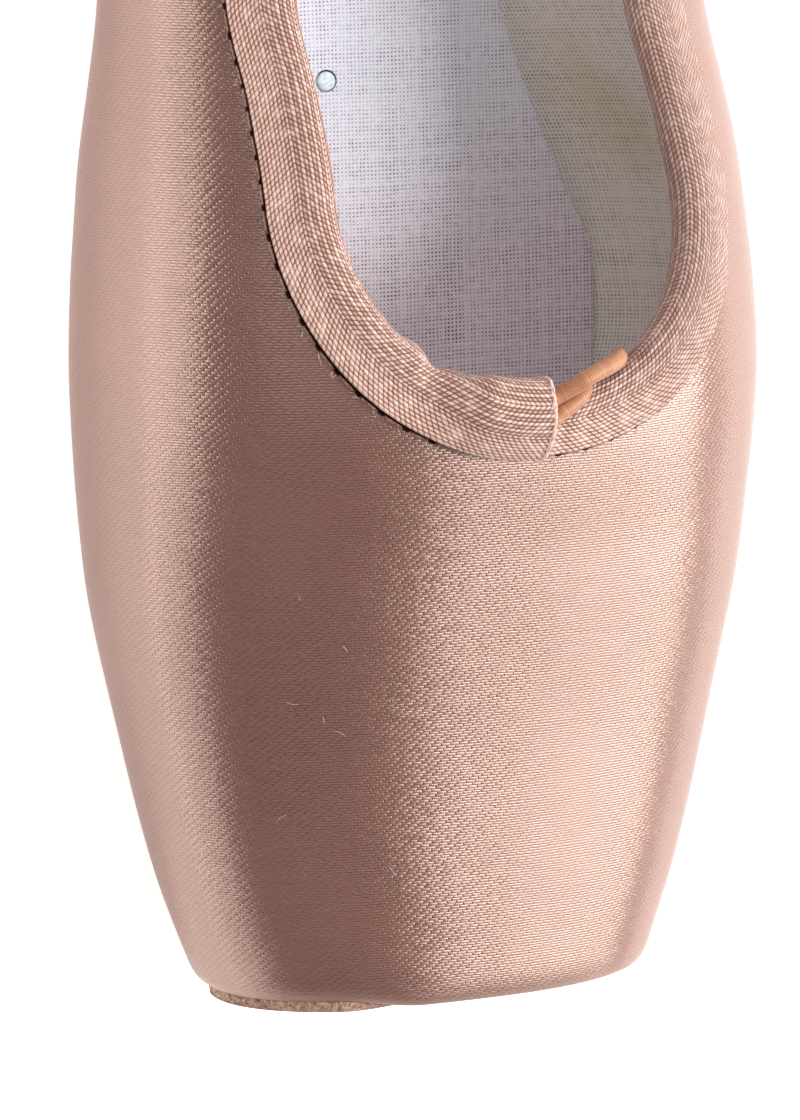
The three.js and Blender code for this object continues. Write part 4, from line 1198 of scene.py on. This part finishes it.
def seam_places(turns, drop, off):
    """Places at a distance down the outside of the collar and off it, with their directions
    along the seam, up the wall, and out."""
    seam = Collar(turns)
    at, out = seam.down_wall(drop)
    ahead = Collar(turns + 1e-3).down_wall(drop)[0] - at
    ahead = unit(ahead)
    up_wall = np.cross(out, ahead)
    return at + off * out, np.stack([ahead, up_wall, out], axis=1)


thread_material, tree, shader = material("seam_thread", Roughness=0.55, Sheen_Weight=0.2)
twist = noise(tree, object_place(tree), 3500, 2)
colour = between(tree, ramp(tree, twist, 0.35, 0.65), THREAD_DARK, THREAD_BROWN)
finish(tree, shader, colour, twist, THREAD_DEPTH)
# Painted shade: near-black beads stand in the pinholes and along the ditch, where shade falls
pinhole_shade_material, tree, shader = material("seam_pinhole_shade", Roughness=1.0, Specular_IOR_Level=0.0)
shade_noise = noise(tree, object_place(tree), 2500, 2)
finish(tree, shader, between(tree, shade_noise, PINHOLE_SHADE_BLACK, PINHOLE_SHADE_BROWN), shade_noise, THREAD_DEPTH)

seam_turns = even_turns(*SEAM_TURNS, STITCH_PITCH)
hole_turns = (seam_turns[1:] + seam_turns[:-1]) / 2
ditch_turns = even_turns(*SEAM_TURNS, STITCH_PITCH / 3)
# Name, bead, material, turns, distance down from the edge, and off the satin
seam_rows = (
    ("seam_stitches", bead(STITCH_SIZE), thread_material, seam_turns, SEAM_DROP, 0.08 * MM),
    ("seam_pinhole_shades", bead(HOLE_SIZE, 2.0), pinhole_shade_material, hole_turns, SEAM_DROP - 0.02 * MM, 0.05 * MM),
    ("seam_ditch_shade", bead(DITCH_SIZE), pinhole_shade_material, ditch_turns, DITCH_DROP, 0.0),
)
for name, shape, look, turns, drop, off in seam_rows:
    row = many(name, *shape, *seam_places(turns, drop, off))
    row.data.materials.append(look)


# Loose filaments: where the needle broke the satin's floats, and at cut edges, fine rayon hairs
# stand up, bend over, and catch the light.
FILAMENTS, FILAMENT_SPREAD, FILAMENT_RADIUS = 620, 0.0035, 0.024 * MM
FILAMENT_LENGTHS = (0.2, 0.9)
HAIR_SIDES = 4
RAYON_DULL, RAYON_BRIGHT = (0.62, 0.36, 0.3, 1), (0.95, 0.82, 0.78, 1)


def hairs(name, starts, leads, bends, lengths, radius, rings=6):
    """Curved tapering tubes: each point is its start, plus its lead times the distance along it,
    plus its bend times the square of that."""
    share = np.linspace(0, 1, rings)[None, :, None]
    reach = lengths[:, None, None]
    line = starts[:, None] + reach * (share * leads[:, None] + share**2 * bends[:, None])
    forward = leads[:, None] + 2 * share * bends[:, None]
    forward = unit(forward)
    side = np.cross(forward, np.roll(forward, 1, axis=2) * [1, -1, 1] + [0.3, 0.5, 0.1])
    side = unit(side)
    lift = np.cross(side, forward)
    angle = np.linspace(0, 2 * np.pi, HAIR_SIDES, endpoint=False)
    thin = radius * np.sqrt(4 * share * (1 - share))
    tube = tube_rings(line, side, lift, thin, angle)
    faces = grid(rings, HAIR_SIDES, around=True)[:, ::-1]
    faces = faces[None] + (rings * HAIR_SIDES * np.arange(len(starts)))[:, None, None]
    return piece(name, tube.reshape(-1, 3), faces.reshape(-1, 4))


filament_material, tree, shader = material("satin_filament", Roughness=0.35, Specular_IOR_Level=0.8)
tone = noise(tree, object_place(tree), 900, 1)
finish(tree, shader, between(tree, tone, RAYON_DULL, RAYON_BRIGHT), tone, 0.01 * MM)
luck = np.random.default_rng(12)
count = FILAMENTS
turns = luck.choice(hole_turns, count) + luck.normal(0, FILAMENT_SPREAD, count)
turns = np.clip(turns, 0.01, SEAM_TURNS[1])
centres, frames = seam_places(turns, SEAM_DROP + 0.16 * MM, 0.0)
swing = luck.normal(0, 0.7, (count, 1))
leads = swing * frames[:, 0] - frames[:, 1] + luck.uniform(0.25, 0.7, (count, 1)) * frames[:, 2]
bends = -0.4 * frames[:, 2] + luck.normal(0, 0.3, (count, 1)) * frames[:, 0]
lengths = luck.uniform(*FILAMENT_LENGTHS, count) * MM
filaments = hairs("seam_filaments", centres, leads, bends, lengths, FILAMENT_RADIUS)
filaments.data.materials.append(filament_material)


# Fuzz: a few broken filaments of the satin lie curled on the toe box. They are of the same rayon
# as those beside the seam, and spring a little way off the cloth.
FUZZ, FUZZ_RADIUS, FUZZ_RINGS = 20, 0.02 * MM, 8
# In millimetres: ranges across and along, the height they are settled from, and their lengths
FUZZ_X, FUZZ_S, FUZZ_Z, FUZZ_LENGTHS = (-27, 27), (12, 57), 40, (0.8, 1.9)

count = FUZZ
spots = np.c_[luck.uniform(*FUZZ_X, count), luck.uniform(*FUZZ_S, count), np.full(count, FUZZ_Z)] * MM
spots[:, 1] += PLATFORM_Y
spots, out = settle(spots, 0.0)
ahead = np.cross(out, luck.normal(0, 1, (count, 3)))
ahead = unit(ahead)
curl = luck.uniform(-0.7, 0.7, (count, 1)) * np.cross(out, ahead)
leads, bends = ahead + 0.12 * out, curl - 0.1 * out
lengths = luck.uniform(*FUZZ_LENGTHS, count) * MM
fuzz = hairs("satin_fuzz", spots, leads, bends, lengths, FUZZ_RADIUS, FUZZ_RINGS)
fuzz.data.materials.append(filament_material)


# Lapped end: the tape's cut end is turned under into a thick pale lip with a few loose fibres. It
# is of the tape's own cotton, and lies beyond the last stitch.
LIP_RADIUS, LIP_SIDES, LIP_RING_EVERY, LIP_STEPS = 0.38 * MM, 20, 0.12 * MM, 8
# Lengths over two pi of the lip's slanting lumps, and of the waves under them
LUMP_LENGTH, LUMP_WAVE = 0.16 * MM, 0.5 * MM
LIP_SHADE, LIP_PALE, LIP_DEPTH = (0.3, 0.16, 0.12, 1), (0.74, 0.5, 0.43, 1), 0.12 * MM
FIBRES, FIBRE_RADIUS, FIBRE_LENGTHS = 90, 0.018 * MM, (0.3, 0.75)


def lip(name, route):
    """A rope-like tube along a route, its radius swelling in slanting lumps, by sines of the angle
    and of the distance along it, and closed at its ends."""
    reach, middle, _, side, lift = along_route(route, LIP_RING_EVERY)
    angle = np.linspace(0, 2 * np.pi, LIP_SIDES, endpoint=False)
    lumps = 0.1 * np.sin(2 * angle + reach[:, None] / LUMP_LENGTH)
    lumps = lumps + 0.08 * np.sin(reach[:, None] / LUMP_WAVE)
    radius = LIP_RADIUS * (1 + lumps) * round_ends(reach, LIP_RADIUS)
    tube = tube_rings(middle, side, lift, radius, angle)
    uv = np.stack(np.broadcast_arrays(LIP_RADIUS * angle[None], reach[:, None]), axis=-1)
    faces = grid(len(reach), LIP_SIDES, around=True)[:, ::-1]
    return piece(name, tube.reshape(-1, 3), faces, uv.reshape(-1, 2))


lip_material, tree, shader = material("tape_lip", Roughness=0.8, Sheen_Weight=0.3)
place = cloth_place(tree)
strands = noise(tree, stretched(tree, place, 4500, 1500, 1), 1, 2)
tone = between(tree, ramp(tree, strands, 0.3, 0.6), LIP_SHADE, LIP_PALE)
finish(tree, shader, tone, strands, LIP_DEPTH)
end_line = collar.line_over(tape_lift(collar) + TAPE_THICKNESS / 2)[-1:]
end_line = across_smoothly(end_line, LIP_STEPS)[0]
end_lip = lip("lapped_end_lip", end_line)
end_lip.data.materials.append(lip_material)
count = FIBRES
starts = end_line[luck.integers(0, len(end_line) - 1, count)]
out = settle(starts, 0.0)[1]
leads = out * luck.uniform(0.2, 1, (count, 1)) + luck.normal(0, 0.8, (count, 3))
bends = luck.normal(0, 0.35, (count, 3))
lengths = luck.uniform(*FIBRE_LENGTHS, count) * MM
whiskers = hairs("lapped_end_fibres", starts, leads, bends, lengths, FIBRE_RADIUS)
whiskers.data.materials.append(filament_material)


# Studio: a plain white floor and soft boxes to the left, the right and overhead. The floor glows
# a little, so that it stays white in the shoe's shade.
BOX_DISTANCE, BOX_LENGTH = 0.9, 1.0
BOX_AIM, HEEL_AIM = np.array([0, -60, 30]) * MM, np.array([0, -20, 30]) * MM
HEEL_BOX_OFF, HEEL_BOX_SIZE, HEEL_BOX_POWER = np.array([-0.1, 0.75, 0.65]), (0.8, 0.5), 3.0
FLOOR_HALF, FLOOR_DROP, FLOOR_GLOW, SKY_STRENGTH = 2.5, 0.02 * MM, 0.7, 0.2


def lamp(name, where, aim, size, power):
    """A soft box of that size in metres, turned to its aim."""
    light = bpy.data.lights.new(name, "AREA")
    light.shape = "RECTANGLE"
    light.size, light.size_y = size
    light.energy = power
    made = bpy.data.objects.new(name, light)
    made.location = where
    made.rotation_euler = (Vector(aim) - Vector(where)).to_track_quat("-Z", "Y").to_euler()
    bpy.context.scene.collection.objects.link(made)


def strip_box(name, side_angle, width_angle, strength):
    """A long soft box in line with the shoe, at an angle round it from straight overhead and as
    wide as the second angle, seen from the shoe. Strength is its brightness."""
    away = np.array([np.sin(np.radians(side_angle)), 0, np.cos(np.radians(side_angle))])
    width = 2 * BOX_DISTANCE * np.tan(np.radians(width_angle) / 2)
    power = np.pi * strength * width * BOX_LENGTH
    lamp(name, BOX_AIM + BOX_DISTANCE * away, BOX_AIM, (width, BOX_LENGTH), power)


strip_box("left_soft_box", -89, 18, 7.8)
strip_box("right_soft_box", 46.5, 15.5, 20.5)
lamp("heel_soft_box", HEEL_AIM + HEEL_BOX_OFF, HEEL_AIM, HEEL_BOX_SIZE, HEEL_BOX_POWER)
world = bpy.data.worlds.new("studio")
bpy.context.scene.world = world
world.use_nodes = True
sky = world.node_tree.nodes["Background"]
sky.inputs[0].default_value = (1, 1, 1, 1)
sky.inputs[1].default_value = SKY_STRENGTH
bpy.context.scene.view_settings.view_transform = "Standard"
corners = FLOOR_HALF * np.array([(-1, -1, 0), (1, -1, 0), (1, 1, 0), (-1, 1, 0)])
corners = corners - np.array([0, 0, FLOOR_DROP])
floor_mesh = bpy.data.meshes.new("floor")
floor_mesh.from_pydata(corners.tolist(), [], [(0, 1, 2, 3)])
floor = bpy.data.objects.new("floor", floor_mesh)
bpy.context.scene.collection.objects.link(floor)
white, tree, shader = material("floor_white", Roughness=1.0, Base_Color=(0.9, 0.9, 0.9, 1))
shader.inputs["Emission Color"].default_value = (1, 1, 1, 1)
shader.inputs["Emission Strength"].default_value = FLOOR_GLOW
floor_mesh.materials.append(white)
